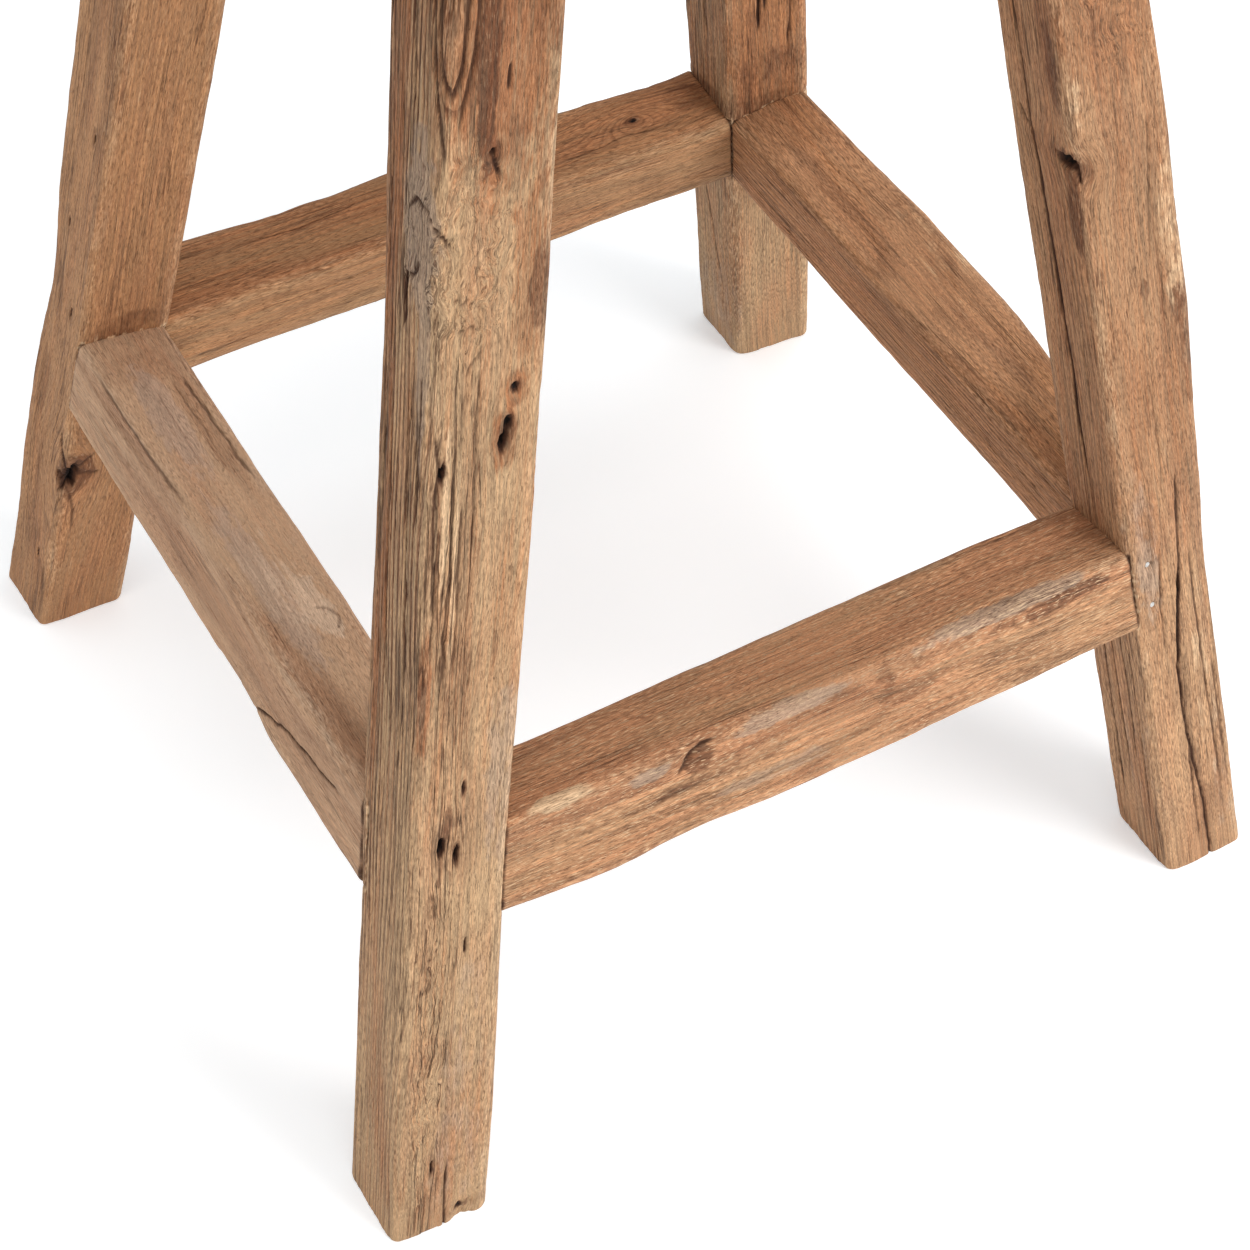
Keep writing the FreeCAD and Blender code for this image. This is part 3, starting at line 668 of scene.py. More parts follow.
# Each leg's wood, noise seed, wear, cracks and marks. A leg is walked round from its front
# left arris: 0 to 46 over the front face, 0 to -45 over the left one.
LEGS = {
    "front_left": (old_wood("leg_front_left_wood", (188, 154, 117), (146, 99, 66),
                            Pore_Strength=0.25, Ring_Strength=1.0), 11, {
        "furrow": (0.8, 0.6, 0.6, 0.9), "hair": (0.3, 0.5, 0.5, 1.1),
        "ribs": (0.35, 0.5, 0.5, 1.0), "flake": (0.6, 0.4, 0.4, 0.3),
        "brown": (0.2, 0.4, 0.4, 0.12), "pale": (0.10, 0.2, 0.2, 0.12),
        "grey": (0.1, 0.1, 0.1, 0.0), "dark": (0.05, 0.1, 0.1, 0.08),
        "rings": (3.3, 16, 170, 4.0), "arris": (1.2, 0.35, 0.8, 0.5)}, [
        (((588, 25), (578, 24.7)), 0.8, 1.8, 0.3),
        (((553, 20.4), (549, 21.6), (545, 23.2)), 0.8, 2.2, 0.2),
        (((525, -23), (533, -17), (534, -8), (529, -2), (524, 4), (518, 6)),
         0.9, 1.7, 1.2),
        (((511, -12), (505, -14), (501, -17), (500, -21)), 0.8, 1.6, 0.8),
        (((501, -21), (493, -21.5), (484, -20.5), (476, -22)), 1.2, 3.0, 0.4),
        (((655, -10), (625, -9), (600, -7), (580, -4), (562, 0), (545, -1)),
         1.0, 1.5, 0.6),
        (((655, -4), (630, -5), (605, -4), (590, -1.5), (582, 2), (590, 5), (605, 6.5),
          (630, 7), (655, 9)), 0.9, 1.4, 0.4),
        (((655, 0), (625, 0), (604, 2), (625, 4), (655, 4)), 0.7, 1.0, 0.4),
        (((655, 13), (630, 11.5), (600, 10.5), (575, 6), (560, 3)), 0.9, 1.3, 0.6),
        (((560, -36), (480, -37), (400, -36), (320, -38)), 0.8, 1.3, 0.8),
        (((640, -20), (600, -22), (560, -19)), 0.8, 1.2, 0.8),
        (((470, -13), (400, -14), (330, -12), (260, -14)), 0.8, 1.5, 0.8),
        (((460, -30), (420, -28), (350, -29), (280, -26)), 0.8, 1.2, 0.8),
        (((470, -6), (430, -7), (390, -5)), 0.8, 1.5, 0.6),
        (((448, 1), (425, 3.5), (405, 2.5), (380, 3.5), (350, 2.5)), 0.8, 1.4, 0.7),
        (((444, 10), (410, 9.5), (380, 10.5), (345, 9.5), (300, 10)), 0.8, 1.3, 0.7),
        (((415, 14.5), (385, 14), (350, 15), (310, 14)), 0.7, 1.2, 0.7),
        (((470, 19), (440, 18.5), (410, 19.5), (370, 19)), 0.7, 1.0, 0.8),
        (((487, 8), (484, 12), (486, 17)), 1.0, 1.0, 0.8),
        (((500, 6), (497, 11), (499, 14)), 1.0, 1.0, 0.8),
        (((475, 20), (470, 15), (463, 13)), 0.9, 1.0, 0.8),
        (((420, 3), (385, 5), (350, 3.5), (322, 4)), 0.45, 1.0, 0.7),
        (((-20, 25), (20, 24.5), (48, 25.5)), 0.7, 1.6, 0.5)],
        {"tongue": [(568, 0.5, 26, 8.0, 2.6)],
         "ringed": [(620, 0, 60, 12, 1.0), (515, 14, 40, 18, -0.2)],
         "brown": [(645, 22, 100, 36, 1.0), (500, 38, 42, 7, 0.5), (453, 35, 8, 5, 0.7),
                   (431, 31, 15, 6, 1.0), (318, 1.5, 30, 3, 1.0), (560, -34, 90, 9, 0.7),
                   (400, -36, 150, 8, 0.7)],
         "dark": [(588, 16.0, 36, 4.4, 1.5), (556, 19, 9, 4, 0.6), (530, -13, 34, 12, 0.3),
                  (495, 43, 22, 5, 0.8), (450, -38, 120, 4, 0.15), (314, 1.0, 14, 2, 0.8),
                  (247, 16, 10, 3, 0.7), (10, 40, 6, 6, 0.5)],
         "hole": [(555.0, 19.6, 2.8, 2.0, 3.6), (452.6, 35.3, 2.8, 2.4, 2.6),
                  (437, 33.0, 4.2, 2.4, 3.4), (429, 31.3, 6.5, 2.9, 5.0),
                  (425, 5.3, 6.5, 2.0, 4.5), (262, 23, 3.6, 1.1, 2.0), (234, 13.7, 6.5, 2.4, 4.0),
                  (227, 21.2, 6.5, 1.9, 4.0), (172.5, 28, 5.5, 1.0, 2.4),
                  (40.5, 17.3, 4.5, 1.0, 2.2), (8, 32, 2.4, 3.0, 1.6)],
         "pale": [(405, 7, 45, 2.0, 0.7), (380, 12.3, 60, 1.5, 0.5), (515, 16, 34, 12, 0.15),
                  (330, 34, 120, 9, 0.12), (70, -22, 110, 24, 0.1)],
         "scoop": [(405, 7, 45, 2.2, -0.6), (430, -45, 120, 9, 1.5), (420, 46, 260, 9, -1.6),
                   (60, 46, 110, 9, -2.2), (70, -45, 110, 9, -0.6), (0, 28, 26, 16, -1.3),
                   (35, 46, 50, 8, -0.8), (0, 34, 7, 5, 2.0)],
         "swirl": [(518, 14, 42, 19, 1.0), (120, 12, 90, 8, 0.5), (520, -12, 30, 12, 0.8)],
         "smooth": [(60, -22, 130, 24, 0.8), (100, 36, 110, 10, 0.8), (340, 36, 190, 11, 0.7)],
         "torn": [(150, 12, 80, 4, 1.2), (512, 12, 36, 14, 2.0), (6, 35, 8, 7, 2.0),
                  (13, 41, 6, 5, 2.4)],
         "grey": [(527, -13, 36, 13, 1.0), (470, -6, 50, 4, 0.8), (262, 40, 60, 8, 0.55),
                  (70, 30, 130, 15, 0.4), (60, -20, 150, 24, 0.2)],
         "lined": [(370, 11, 100, 11, 1.2), (215, 13, 110, 11, 1.0), (60, 12, 70, 11, 0.6)]}),
    "front_right": (old_wood("leg_front_right_wood", (186, 145, 108), (152, 107, 74)), 23, {
        "furrow": (0.5, 0.4, 0.5, 0.7), "hair": (0.35, 0.5, 0.5, 0.7),
        "ribs": (0.35, 0.5, 0.5, 0.6), "flake": (0.3, 0.5, 0.5, 0.3),
        "brown": (0.5, 0.4, 0.4, 0.55), "dark": (0.08, 0.1, 0.1, 0.15),
        "rings": (3.6, 22, 150, 3.0), "arris": (0.9, 0.5, 0.8, 0.6)}, [
        (((560, -33), (520, -32), (483, -31), (456, -31), (415, -29)), 0.8, 1.6, 0.4),
        (((460, -30.5), (438, -29.5), (402, -28.8), (368, -28), (322, -25.5), (302, -27),
          (233, -22)), 0.95, 2.8, 0.5),
        (((462, -37), (456, -34), (451, -29)), 1.1, 1.2, 0.3),
        (((440, -13), (400, -14), (350, -12), (290, -14)), 0.7, 1.0, 0.9),
        (((473, 36), (435, 33), (400, 30), (383, 27)), 0.6, 0.8, 0.8),
        (((420, 33), (390, 34), (350, 33)), 0.6, 0.8, 0.8),
        (((330, 22), (290, 23), (250, 21)), 0.6, 0.8, 0.8),
        (((275, 30), (216, 26.5), (180, 22.5)), 0.7, 1.5, 0.5),
        (((212, 26), (196, 24.5), (175, 22), (140, 20)), 0.85, 2.6, 0.4),
        (((175, 22), (146, 20), (105, 20), (62, 23.5), (39, 26), (-40, 25)),
         0.75, 1.8, 0.8),
        (((180, 22), (105, 21), (62, 24.5), (20, 26), (-60, 26)), 2.6, 0.5, 0.5),
        (((100, 21), (45, 20), (5, 20)), 0.7, 1.2, 0.8),
        (((230, 16), (185, 13), (150, 14)), 0.6, 1.2, 0.7),
        (((235, 33), (180, 33), (120, 35), (60, 37), (15, 37)), 0.8, 1.2, 0.6),
        (((150, 40), (90, 41), (30, 42)), 0.8, 1.1, 0.6),
        (((168, -9), (110, -10), (30, -9)), 0.6, 1.5, 0.6),
        (((170, -17), (120, -16), (60, -17)), 0.6, 1.8, 0.6),
        (((176, -25), (110, -26), (45, -24)), 0.7, 2.0, 0.6),
        (((160, -33), (90, -34), (20, -33)), 0.7, 1.8, 0.6)],
        {"hole": [(452, -7, 4.6, 7.5, 6.0), (448, 0, 5.0, 4.0, 4.0)],
         "scoop": [(446, 1, 26, 7, 1.8), (400, 0, 50, 6, 1.6), (488, 0, 22, 8, -1.4),
                   (375, 47, 50, 12, -1.5), (440, 47, 40, 10, -0.6), (560, 47, 50, 10, 2.2),
                   (645, 47, 50, 10, -2.6), (200, 47, 80, 11, 3.4), (55, -45, 80, 9, -1.5),
                   (219.6, 10, 2.2, 2.0, 3.2), (193, 10, 2.2, 2.0, 3.2), (400, -45, 220, 9, -2.4)],
         "pale": [(486, 3, 16, 5, 0.25), (405, 40, 46, 6, 0.35), (130, 36, 90, 8, 0.3)],
         "brown": [(540, 24, 52, 30, 0.6), (550, -7, 60, 7, 0.8), (80, -20, 100, 30, -0.4),
                   (60, 25, 140, 26, -0.7)],
         "swirl": [(540, 26, 46, 24, 0.7)],
         "dark": [(425, -5, 22, 4.5, 0.9), (500, -6, 26, 5, 0.7), (350, 43, 34, 4, 0.6),
                  (368, 40, 10, 3.5, 0.7), (380, 25, 8, 2.5, 0.6)],
         "torn": [(400, 40, 44, 6, 0.8)],
         "grey": [(240, 8, 46, 9, 0.45), (206, 9, 26, 6, 0.35), (120, -20, 100, 26, 0.3),
                  (60, 38, 70, 8, 0.4)]}),
    "back_left": (old_wood("leg_back_left_wood", (182, 137, 98), (161, 116, 79),
                           Grain_Strength=0.75), 37, {
        "furrow": (0.25, 0.4, 0.5, 0.5), "hair": (0.35, 0.5, 0.5, 0.6),
        "ribs": (0.3, 0.5, 0.5, 0.45), "flake": (0.15, 0.5, 0.5, 0.3),
        "brown": (0.9, 0.5, 0.5, 0.3), "dark": (0.05, 0.1, 0.1, 0.1),
        "grey": (0.02, 0.1, 0.1, 0.12), "rings": (3.4, 150, 30, 3.0),
        "arris": (0.8, 0.5, 0.8, 0.9)}, [
        (((160, -5), (150, -4), (140, -1), (130, 1)), 1.0, 1.8, 0.6),
        (((128, 1), (133, 9), (141, 19)), 1.2, 1.4, 0.5),
        (((126, 2), (126, 10), (122, 22)), 1.2, 1.2, 0.5),
        (((122, 1), (112, 5), (98, 8), (80, 9)), 0.8, 1.0, 0.5),
        (((115, 1), (95, -3), (60, -5)), 0.4, 0.8, 0.8)],
        {"hole": [(360, -12, 3, 1.4, 1.8), (295, -27, 3, 1.2, 1.6), (243, -12, 3, 1.2, 1.6),
                  (52, -14, 3, 1.2, 1.6), (127, 2, 10, 8.5, 8.0)],
         "dark": [(128, 8, 14, 10, 0.8), (236, 22, 9, 26, 0.5)],
         "knot": [(128, 4, 30, 14, 4.0)],
         "brown": [(240, 22, 22, 24, 0.6), (60, 22, 60, 30, -0.1)],
         "scoop": [(135, -45, 60, 12, -3.0), (400, -45, 120, 9, -1.8), (245, -45, 36, 10, 2.4),
                   (400, 46, 200, 9, -2.6), (45, 46, 80, 9, -2.5), (20, -45, 40, 9, -1.2),
                   (0, 24, 26, 18, -1.0)]}),
    "back_right": (old_wood("leg_back_right_wood", (172, 139, 104), (156, 107, 71)), 53, {
        "furrow": (0.4, 0.4, 0.5, 0.6), "hair": (0.7, 0.4, 0.5, 0.9),
        "ribs": (0.4, 0.4, 0.5, 0.8), "brown": (0.7, 0.4, 0.4, 0.55),
        "rings": (3.4, 24, 150, 3.0), "dark": (0.1, 0.1, 0.1, 0.2),
        "arris": (0.8, 0.6, 0.8, 0.8)}, [
        (((350, 18), (315, 19), (285, 17.5)), 0.9, 2.2, 0.6),
        (((345, 22), (320, 22.5), (300, 22)), 0.8, 1.8, 0.6),
        (((340, 36), (300, 37), (265, 35)), 0.8, 1.4, 0.6),
        (((350, -20), (310, -22), (270, -21)), 0.8, 1.6, 0.6),
        (((150, -30), (90, -20), (50, -12)), 0.9, 1.2, 0.8)],
        {"dark": [(262, 25, 14, 22, 0.5), (70, 0, 60, 3, 0.5), (232, 0, 9, 50, 0.5)],
         "brown": [(280, 22, 40, 24, 0.8), (120, -4, 90, 8, 0.8), (60, 0, 120, 60, -0.85)],
         "smooth": [(60, 0, 110, 60, 0.8)],
         "grey": [(30, -20, 60, 26, 0.4)],
         "scoop": [(110, 46, 160, 9, -3.4), (420, 46, 200, 9, -2.0), (0, 26, 26, 16, -0.9),
                   (0, -24, 30, 18, 0.9)]}),
}

for place, (wood, seed, wear, cracks, marks) in LEGS.items():
    foot_x, foot_y = (value / MM for value in FOOT[place][:2])

    def put(s, a, b, foot_x=foot_x, foot_y=foot_y):
        """The section stays level and slides inwards as it rises."""
        return (foot_x - LEG_WIDTH / 2 + a - math.copysign(SIDE_LEAN, foot_x) * s,
                foot_y - LEG_DEPTH / 2 + b - math.copysign(FACE_LEAN, foot_y) * s, s)

    leg = worn_bar(f"leg_{place}_wood", (LEG_WIDTH, LEG_DEPTH), LEG_ROWS, put, marks,
                   {**PLAIN, **wear, "cracks": cracks, "seams": seams(foot_x, foot_y)},
                   seed, LEG_PITCH)
    leg.data.materials.append(wood)
    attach(leg, "root")
    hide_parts(f"leg_{place}")


# ---------------------------------------------------------------------------------
# Footrest rails: four bars of the same stock, turned with the splay so that their
# outer faces lie with the legs', and tenoned into them. Feet have rubbed their upper
# arrises round and pale.
# ---------------------------------------------------------------------------------

BITE = 0.8                             # mm, how far a rail's end sits into the leg's skin
RAIL_END_ROUND = 1.4                   # mm
RAIL_STEP, RAIL_PITCH = 1.2, 0.62      # mm between rings, and between points round one
HALF_BASE = {"x": FOOT["front_right"][0] / MM + LEG_WIDTH / 2,
             "y": FOOT["back_right"][1] / MM + LEG_DEPTH / 2}
LEG_SPAN = {"x": LEG_WIDTH, "y": LEG_DEPTH}
LEANS = {"x": SIDE_LEAN, "y": FACE_LEAN}


def rail_place(run, side):
    """How a rail lies: run is its axis, side is which way from the middle it stands.
    Its section's first face looks at the front or left, and its last face is the top;
    the arris between them is the outer top one on a front or left rail, and the inner
    top one on a back or right rail."""
    reach = "y" if run == "x" else "x"
    lean = LEANS[reach]
    sine, cosine = lean / math.hypot(1, lean), 1 / math.hypot(1, lean)
    out = side * (HALF_BASE[reach] - lean * RAIL_TOP)
    arris = np.array([out, RAIL_TOP])
    inwards = np.array([-side * cosine, -sine])
    down = np.array([side * sine, -cosine])
    if side > 0:
        arris = arris + inwards * RAIL_WIDTH
        inwards = -inwards

    def shoulder(height):
        """Half the length between the legs at a height: they lean in as they rise."""
        return HALF_BASE[run] - LEG_SPAN[run] - LEANS[run] * height

    middle = shoulder(arris[1] - RAIL_HEIGHT / 2)

    def put(s, a, b):
        across = arris[0] + a * down[0] + b * inwards[0]
        height = arris[1] + a * down[1] + b * inwards[1]
        along = s / middle * shoulder(height)
        return (along, across, height) if run == "x" else (across, along, height)

    return put, middle


# Each rail's run and side, wood, noise seed, wear, cracks and marks. Distances along are
# from its middle; round it, 0 to 49 is down the first face and 0 to -44 across the top.
RAILS = {
    "front": ("x", -1, old_wood("rail_front_wood", (184, 141, 103), (184, 132, 95),
                                Pore_Strength=0.3, Fleck_Strength=0.7,
                                Grain_Strength=0.8), 61, {
        "arris": (0.9, 0.7, 1.0, 0.5), "rings": (3.4, 24, 120, 4.5),
        "furrow": (0.5, 0.4, 0.5, 0.3), "hair": (0.4, 0.4, 0.5, 0.4),
        "ribs": (0.6, 0.4, 0.5, 0.3), "flake": (0.5, 0.5, 0.5, 0.1),
        "brown": (0.35, 0.4, 0.5, 0.7), "pale": (0.1, 0.2, 0.2, 0.05)}, [
        (((-82, 14), (-76, 6), (-68, 1), (-60, 2)), 1.3, 1.6, 0.5),
        (((-150, 22), (-110, 24), (-70, 22), (-20, 27), (30, 25)), 0.8, 0.6, 1.2),
        (((-20, 20), (20, 22), (60, 19), (120, 24)), 0.7, 0.5, 1.2),
        (((-60, 36), (0, 33), (60, 36), (125, 34)), 0.8, 0.6, 1.2),
        (((90, 8), (104, 12), (122, 13), (145, 10)), 0.8, 0.6, 0.8)],
        {"brown": [(0, 5, 190, 9, 1.2), (-40, 44, 150, 6, 0.4), (-130, -22, 40, 22, 0.6),
                   (130, -22, 40, 22, 0.6)],
         "dark": [(0, 4, 190, 8, 0.34), (-70, 10, 7, 8, 0.7), (30, 14, 5, 12, 0.35),
                  (140, 6, 16, 5, 0.6), (-60, 22, 50, 4, 0.5)],
         "scoop": [(-125, -44, 40, 9, 0.8), (-35, 49, 30, 10, -1.2), (70, -44, 100, 9, -2.0),
                   (-72, 4.7, 9, 5, 1.6), (10, 4, 60, 9, 1.0), (60, 48, 120, 11, -3.2),
                   (-155, 50, 24, 12, -1.6), (-115, 50, 31, 14, -4.0), (24, 14, 9, 16, 0.8),
                   (46, 12, 12, 16, -0.6)],
         "grey": [(-20, 3, 34, 5, 0.8), (-96, 6, 12, 4, 0.9), (100, 0, 52, 5, 1.0),
                  (-30, 34, 40, 5, 0.5)],
         "pale": [(100, 1, 46, 3, 0.3), (-141, -1, 17, 4.0, 1.0), (62, -24, 4, 16, 0.35)],
         "torn": [(-72, 5.0, 10, 6, 1.2)],
         "knot": [(122, 10, 26, 9, 3.5)]}),
    "back": ("x", 1, old_wood("rail_back_wood", (178, 137, 98), (174, 121, 82),
                              Grain_Strength=0.7), 71, {
        "rings": (3.2, 20, 60, 4.0), "pale": (0.3, 0.2, 0.2, 0.1),
        "ribs": (0.4, 0.4, 0.5, 0.5), "hair": (0.4, 0.4, 0.5, 0.4),
        "brown": (0.15, 0.4, 0.5, 0.7), "dark": (0.1, 0.1, 0.1, 0.12)}, [
        (((135, -10), (110, -13), (80, -11), (60, -14)), 0.5, 0.9, 0.8),
        (((-40, -30), (-80, -27), (-120, -29)), 0.5, 1.0, 0.8),
        (((60, 20), (20, 23), (-20, 21)), 0.45, 0.8, 0.8),
        (((-30, 12), (-80, 15), (-130, 13)), 0.45, 0.8, 0.8)],
        {"knot": [(121, -20, 20, 9, 4.5)],
         "hole": [(121, -21, 2.6, 1.6, 1.0)],
         "brown": [(150, -22, 26, 20, 0.8)],
         "dark": [(158, -25, 12, 14, 0.4)],
         "scoop": [(-75, -43, 45, 9, 2.0), (-71, -43, 10, 6, -1.0), (-155, -43, 36, 9, -1.2),
                   (75, -43, 34, 9, -1.2), (-115, 49, 80, 10, 4.6), (150, -43, 26, 9, 1.8)]}),
    "left": ("y", -1, old_wood("rail_left_wood", (198, 162, 130), (172, 134, 104),
                               Pore_Strength=0.15, Red_Share=0.12,
                               Silver=stain(176, 150, 131), Pale=stain(204, 176, 150),
                               Grain_Strength=0.55), 83, {
        "grey": (0.12, 0.2, 0.2, 0.35), "rings": (3.2, 20, 140, 3.5),
        "ribs": (0.35, 0.4, 0.5, 0.2), "hair": (0.35, 0.4, 0.5, 0.25),
        "furrow": (0.4, 0.5, 0.5, 0.2), "flake": (0.4, 0.4, 0.4, 0.4),
        "brown": (0.42, 0.4, 0.5, 0.25), "arris": (1.2, 0.8, 1.0, 0.7),
        "dark": (0.17, 0.1, 0.1, 0.1)}, [
        (((150, 1.5), (112, 2.2), (70, 1), (38, -1.2), (26, 1)), 1.2, 1.0, 0.8),
        (((130, -36), (95, -37), (60, -38), (32, -40)), 0.9, 1.0, 0.9),
        (((125, -30), (95, -31), (68, -31)), 0.6, 0.7, 0.9),
        (((-49, -27), (-53, -33), (-60, -36), (-66, -33), (-67, -29)), 1.0, 0.7, 0.6),
        (((-50, 48), (-57, 46), (-62, 42), (-75, 36), (-91, 29), (-115, 24), (-150, 17)),
         0.9, 1.7, 1.2)],
        {"brown": [(90, 7, 60, 5, 0.9), (138, -16, 14, 16, 0.5), (-95, -8, 60, 8, 0.7),
                   (-20, 24, 150, 14, 0.45), (85, -33, 60, 5, 0.7)],
         "grey": [(95, -18, 45, 10, 0.7), (-30, -14, 60, 10, 0.6)],
         "pale": [(-50, -30, 22, 8, 0.5), (-62, -31, 13, 6, 0.4), (-30, -20, 40, 14, 0.35)],
         "scoop": [(85, 6, 55, 6, 1.0), (-35, 50, 26, 8, 0.7), (-130, 49, 50, 9, -1.5),
                   (-78, 47, 18, 8, -1.6), (0, -44, 170, 8, -1.0), (0, 49, 170, 8, -1.0)],
         "smooth": [(0, -22, 170, 20, 0.4)]}),
    "right": ("y", 1, old_wood("rail_right_wood", (202, 152, 113), (172, 124, 86)), 97, {
        "rings": (2.8, 140, 20, 3.5), "furrow": (0.5, 0.4, 0.5, 0.3),
        "ribs": (0.8, 0.4, 0.5, 0.35), "hair": (0.9, 0.4, 0.5, 0.4),
        "brown": (0.9, 0.4, 0.5, 0.25), "dark": (0.15, 0.1, 0.1, 0.08)}, [
        (((120, -26), (100, -24), (84, -27), (70, -25)), 0.45, 0.8, 0.9),
        (((60, -14), (40, -13), (28, -15)), 0.45, 0.7, 0.8),
        (((-110, 20), (-122, 22), (-130, 20)), 0.7, 1.4, 0.5)],
        {"scoop": [(-124, -44, 48, 10, 5.4), (10, -44, 60, 9, -1.6), (60, -45, 50, 9, -0.6),
                   (0, 49, 130, 9, -1.5)],
         "brown": [(-120, -25, 50, 26, 0.6), (150, -25, 26, 26, 0.5)],
         "dark": [(158, -25, 12, 24, 0.3)],
         "pale": [(10, -30, 60, 12, 0.2)]}),
}

for place, (run, side, wood, seed, wear, cracks, marks) in RAILS.items():
    put, middle = rail_place(run, side)
    rows = bar_rows(-middle - BITE, middle + BITE, RAIL_STEP, RAIL_END_ROUND, RAIL_END_ROUND)
    rail = worn_bar(f"footrest_{place}_wood", (RAIL_HEIGHT, RAIL_WIDTH), rows, put, marks,
                    {**PLAIN, **wear, "cracks": cracks, "ends": middle, "foot": NONE},
                    seed, RAIL_PITCH)
    rail.data.materials.append(wood)
    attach(rail, "root")
    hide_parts(f"footrest_{place}")


# ---------------------------------------------------------------------------------
# Seat: two thick planks edge to edge over hidden dowels, their grain running left to
# right, rubbed smooth and a little hollow by use.
# ---------------------------------------------------------------------------------

seat_wood = old_wood("seat_wood", (184, 143, 110), (152, 109, 78))
BOARD_LOW, BOARD_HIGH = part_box("seat_board_front")
BOARD_HALF, BOARD_DEPTH = BOARD_HIGH.x / MM, -BOARD_LOW.y / MM
SEAT_THICKNESS = SEAT_TOP - SEAT_UNDERSIDE
SEAT_EDGE = 6.0                        # mm, the round of the boards' ends
SEAT_STEP, SEAT_PITCH = 1.5, 1.15      # mm between rings, and between points round one
SEAT_HOLLOW = 1.6                      # mm, worn by sitting

TENON_X = FOOT["front_right"][0] / MM - SIDE_LEAN * SEAT_TOP
TENON_Y = FOOT["back_right"][1] / MM - FACE_LEAN * SEAT_TOP
TENON_HALF = {"x": LEG_WIDTH * TENON_SHARE / 2, "y": LEG_DEPTH * TENON_SHARE / 2}
SOCKET_WIDTH, SOCKET_DEPTH, SOCKET_WANDER, SOCKET_FILLED = 1.3, 1.4, 0.1, 0.4


def socket(middle_x):
    """The gap round a tenon in the seat's top, a closed route of (place along the
    board, distance round it), filled here and there with glue and dust."""
    low, high = middle_x - TENON_HALF["x"], middle_x + TENON_HALF["x"]
    inner, outer = (BOARD_DEPTH - TENON_Y + way * TENON_HALF["y"] for way in (1, -1))
    corners = [(low, -inner), (high, -inner), (high, -outer), (low, -outer), (low, -inner)]
    return corners, SOCKET_WIDTH, SOCKET_DEPTH, SOCKET_WANDER, SOCKET_FILLED


# Drying cracks and marks in each board's top, as worn_bar takes them.
CHECKS = {
    "front": [(((-210, -62), (-140, -60), (-70, -63), (-20, -61)), 1.5, 1.6, 1.0),
              (((40, -128), (100, -126), (220, -129)), 1.4, 1.4, 1.0)],
    "back": [(((210, -48), (150, -50), (95, -47)), 1.5, 1.6, 1.0),
             (((-210, -118), (-120, -121), (-60, -119)), 1.4, 1.3, 1.0)]}
STAINS = {
    "front": {"knot": [(46, -92, 26, 10, 3.5)], "brown": [(46, -92, 60, 22, 0.4)],
              "pale": [(-90, -120, 70, 26, 0.3)], "dark": [(-150, -30, 30, 12, 0.4)]},
    "back": {"knot": [(-38, -70, 30, 9, 4.0)], "dark": [(-38, -70, 12, 5, 0.5)],
             "pale": [(70, -130, 80, 24, 0.3)], "grey": [(-140, -40, 50, 20, 0.4)]}}

for place, side, seed in (("front", -1, 103), ("back", 1, 131)):
    def put(s, a, b, side=side):
        return s, side * (BOARD_DEPTH - b), SEAT_TOP - a

    rows = bar_rows(-BOARD_HALF, BOARD_HALF, SEAT_STEP, SEAT_EDGE, SEAT_EDGE)
    board = worn_bar(
        f"seat_board_{place}_wood", (SEAT_THICKNESS, BOARD_DEPTH), rows, put,
        {"scoop": [(0, -BOARD_DEPTH, 110, 100, SEAT_HOLLOW)],
         "smooth": [(0, -BOARD_DEPTH, 150, 110, 0.3)], **STAINS[place]},
        {**PLAIN, "full": 0.0, "foot": NONE, "swell": 0.5, "hair": (0.3, 0.1, 0.3, 0.35),
         "arris": (2.2, 1.5, 0.3, 0.3), "rings": (3.4, 120, 60, 4.0),
         "furrow": (0.5, 0.3, 0.1, 0.35), "cracks": CHECKS[place],
         "seams": [socket(-TENON_X), socket(TENON_X)]}, seed, SEAT_PITCH)
    board.data.materials.append(seat_wood)
    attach(board, "root")
    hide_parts(f"seat_board_{place}")


# ---------------------------------------------------------------------------------
# Fastenings: dark hardwood wedges driven into the seat tenons and trimmed just proud,
# turned dowels hidden inside the seat, and steel pins through the rails' tenons.
# ---------------------------------------------------------------------------------

WEDGE_THICK, WEDGE_THIN, WEDGE_WIDE, WEDGE_DEEP = 4.5, 1.2, 26.0, 36.0   # mm
WEDGE_ROUND, WEDGE_PROUD = 0.5, 0.9    # mm, its edges' radius and its stand above the seat
WEDGE_POINTS, WEDGE_RINGS = 180, 40
WEDGE_CRUSH, WEDGE_HEAD_ROUGH = 0.15, 0.25   # mm


def new_wood(name, light, dark):
    """Plain close-grained wood on the piece's own coordinates."""
    material, tree, shader = finish(name, Roughness=0.7, Specular_IOR_Level=0.2)
    place = node(tree, "ShaderNodeTexCoord").outputs["Object"]
    fibre = streaks(tree, place, 700, 60, 4.0)
    colour = blend(tree, between(tree, fibre, 0.3, 0.7), light, dark)
    tree.links.new(colour, shader.inputs["Base Color"])
    bump = node(tree, "ShaderNodeBump", {"Height": fibre, "Strength": 0.5, "Distance": 0.0003})
    tree.links.new(bump.outputs["Normal"], shader.inputs["Normal"])
    return material


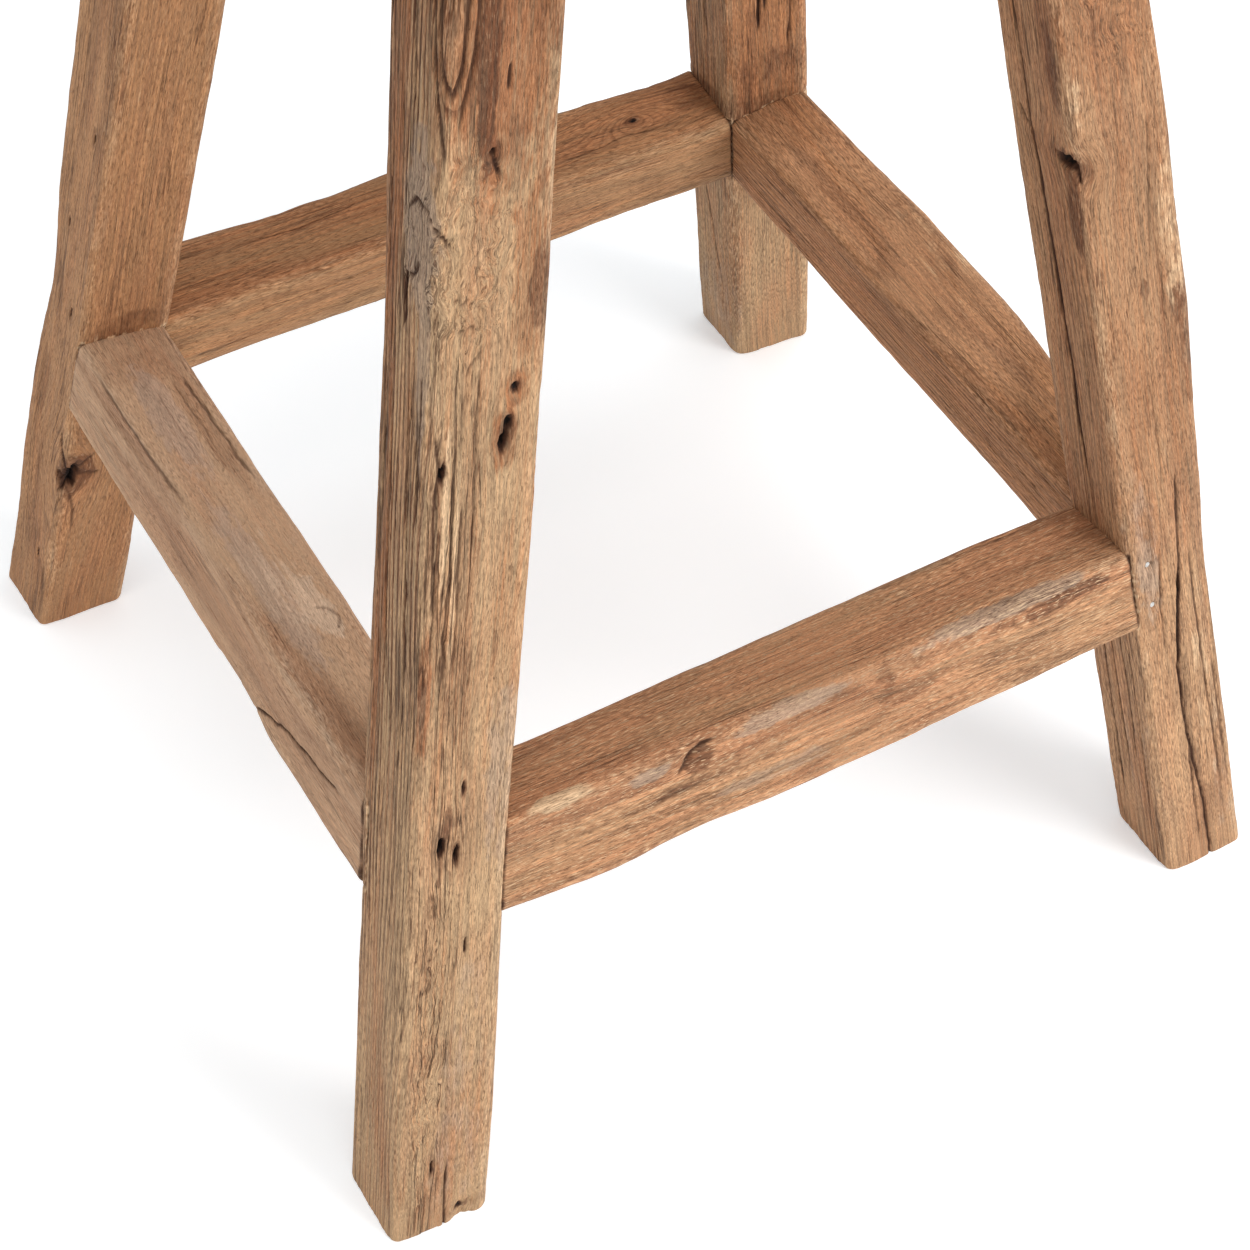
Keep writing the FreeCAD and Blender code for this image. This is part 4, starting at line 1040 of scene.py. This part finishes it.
def pin_steel():
    """Drawn steel with dull, scuffed patches."""
    material, tree, shader = finish("pin_steel", Metallic=1.0)
    place = node(tree, "ShaderNodeTexCoord").outputs["Object"]
    scuff = node(tree, "ShaderNodeTexNoise", {
        "Vector": place, "Scale": 900.0, "Detail": 3.0}).outputs["Fac"]
    bright, dull = (0.62, 0.61, 0.59, 1), (0.42, 0.40, 0.37, 1)
    colour = blend(tree, between(tree, scuff, 0.3, 0.7), bright, dull)
    tree.links.new(colour, shader.inputs["Base Color"])
    tree.links.new(between(tree, scuff, 0.3, 0.7, 0.25, 0.5), shader.inputs["Roughness"])
    return material


FASTENINGS = {"wedge_wood": new_wood("wedge_wood", stain(150, 98, 60), stain(104, 62, 36)),
              "dowel_wood": new_wood("dowel_wood", stain(214, 186, 146), stain(188, 154, 112)),
              "pin_steel": pin_steel()}
slot_of = {part["node"]: part["material_slot"] for part in frame["record"]["subparts"]}


def wedge_rings(foot, seed):
    """A rounded rectangle carried up the tenon's leaning line: its thickness grows evenly
    from the thin end to the head, its skin is crushed a little by a noise field, and its
    head is trimmed unevenly."""
    (a, b), (na, nb), *_ = ring(WEDGE_THICK, WEDGE_WIDE, WEDGE_ROUND, WEDGE_POINTS)
    rise = np.array([0, 0, *np.linspace(0, 1, WEDGE_RINGS), 1, 1, 1])[:, None]
    share = np.array([0.3, 0.8, *np.ones(WEDGE_RINGS - 1), 0.97, 0.8, 0.5, 0.2])[:, None]
    thick = WEDGE_THIN + (WEDGE_THICK - WEDGE_THIN) * rise
    level = SEAT_TOP - WEDGE_DEEP + (WEDGE_DEEP + WEDGE_PROUD) * rise
    crush = WEDGE_CRUSH * drift(a / 4, b / 4, rise * 6, seed)
    head = WEDGE_HEAD_ROUGH * drift(a / 3, b / 5, 0.5, seed + 20) * ramp(rise, 0.9, 1)
    middle_x = foot[0] / MM - math.copysign(SIDE_LEAN, foot[0]) * level
    middle_y = foot[1] / MM - math.copysign(FACE_LEAN, foot[1]) * level
    return np.stack([middle_x + (a / WEDGE_THICK - 0.5) * thick * share + na * crush,
                     middle_y + (b - WEDGE_WIDE / 2) * share + nb * crush,
                     level + head], -1) * MM


for place, seed in (("front_left", 5), ("front_right", 6), ("back_left", 7), ("back_right", 8)):
    wedge = surface(f"seat_wedge_{place}_wood", wedge_rings(FOOT[place], seed), {})
    wedge.data.materials.append(FASTENINGS["wedge_wood"])
    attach(wedge, "root")
    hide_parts(f"seat_wedge_{place}")

for name, piece in frame["nodes"].items():
    if slot_of[name] in FASTENINGS:
        piece.data.materials.clear()
        piece.data.materials.append(FASTENINGS[slot_of[name]])
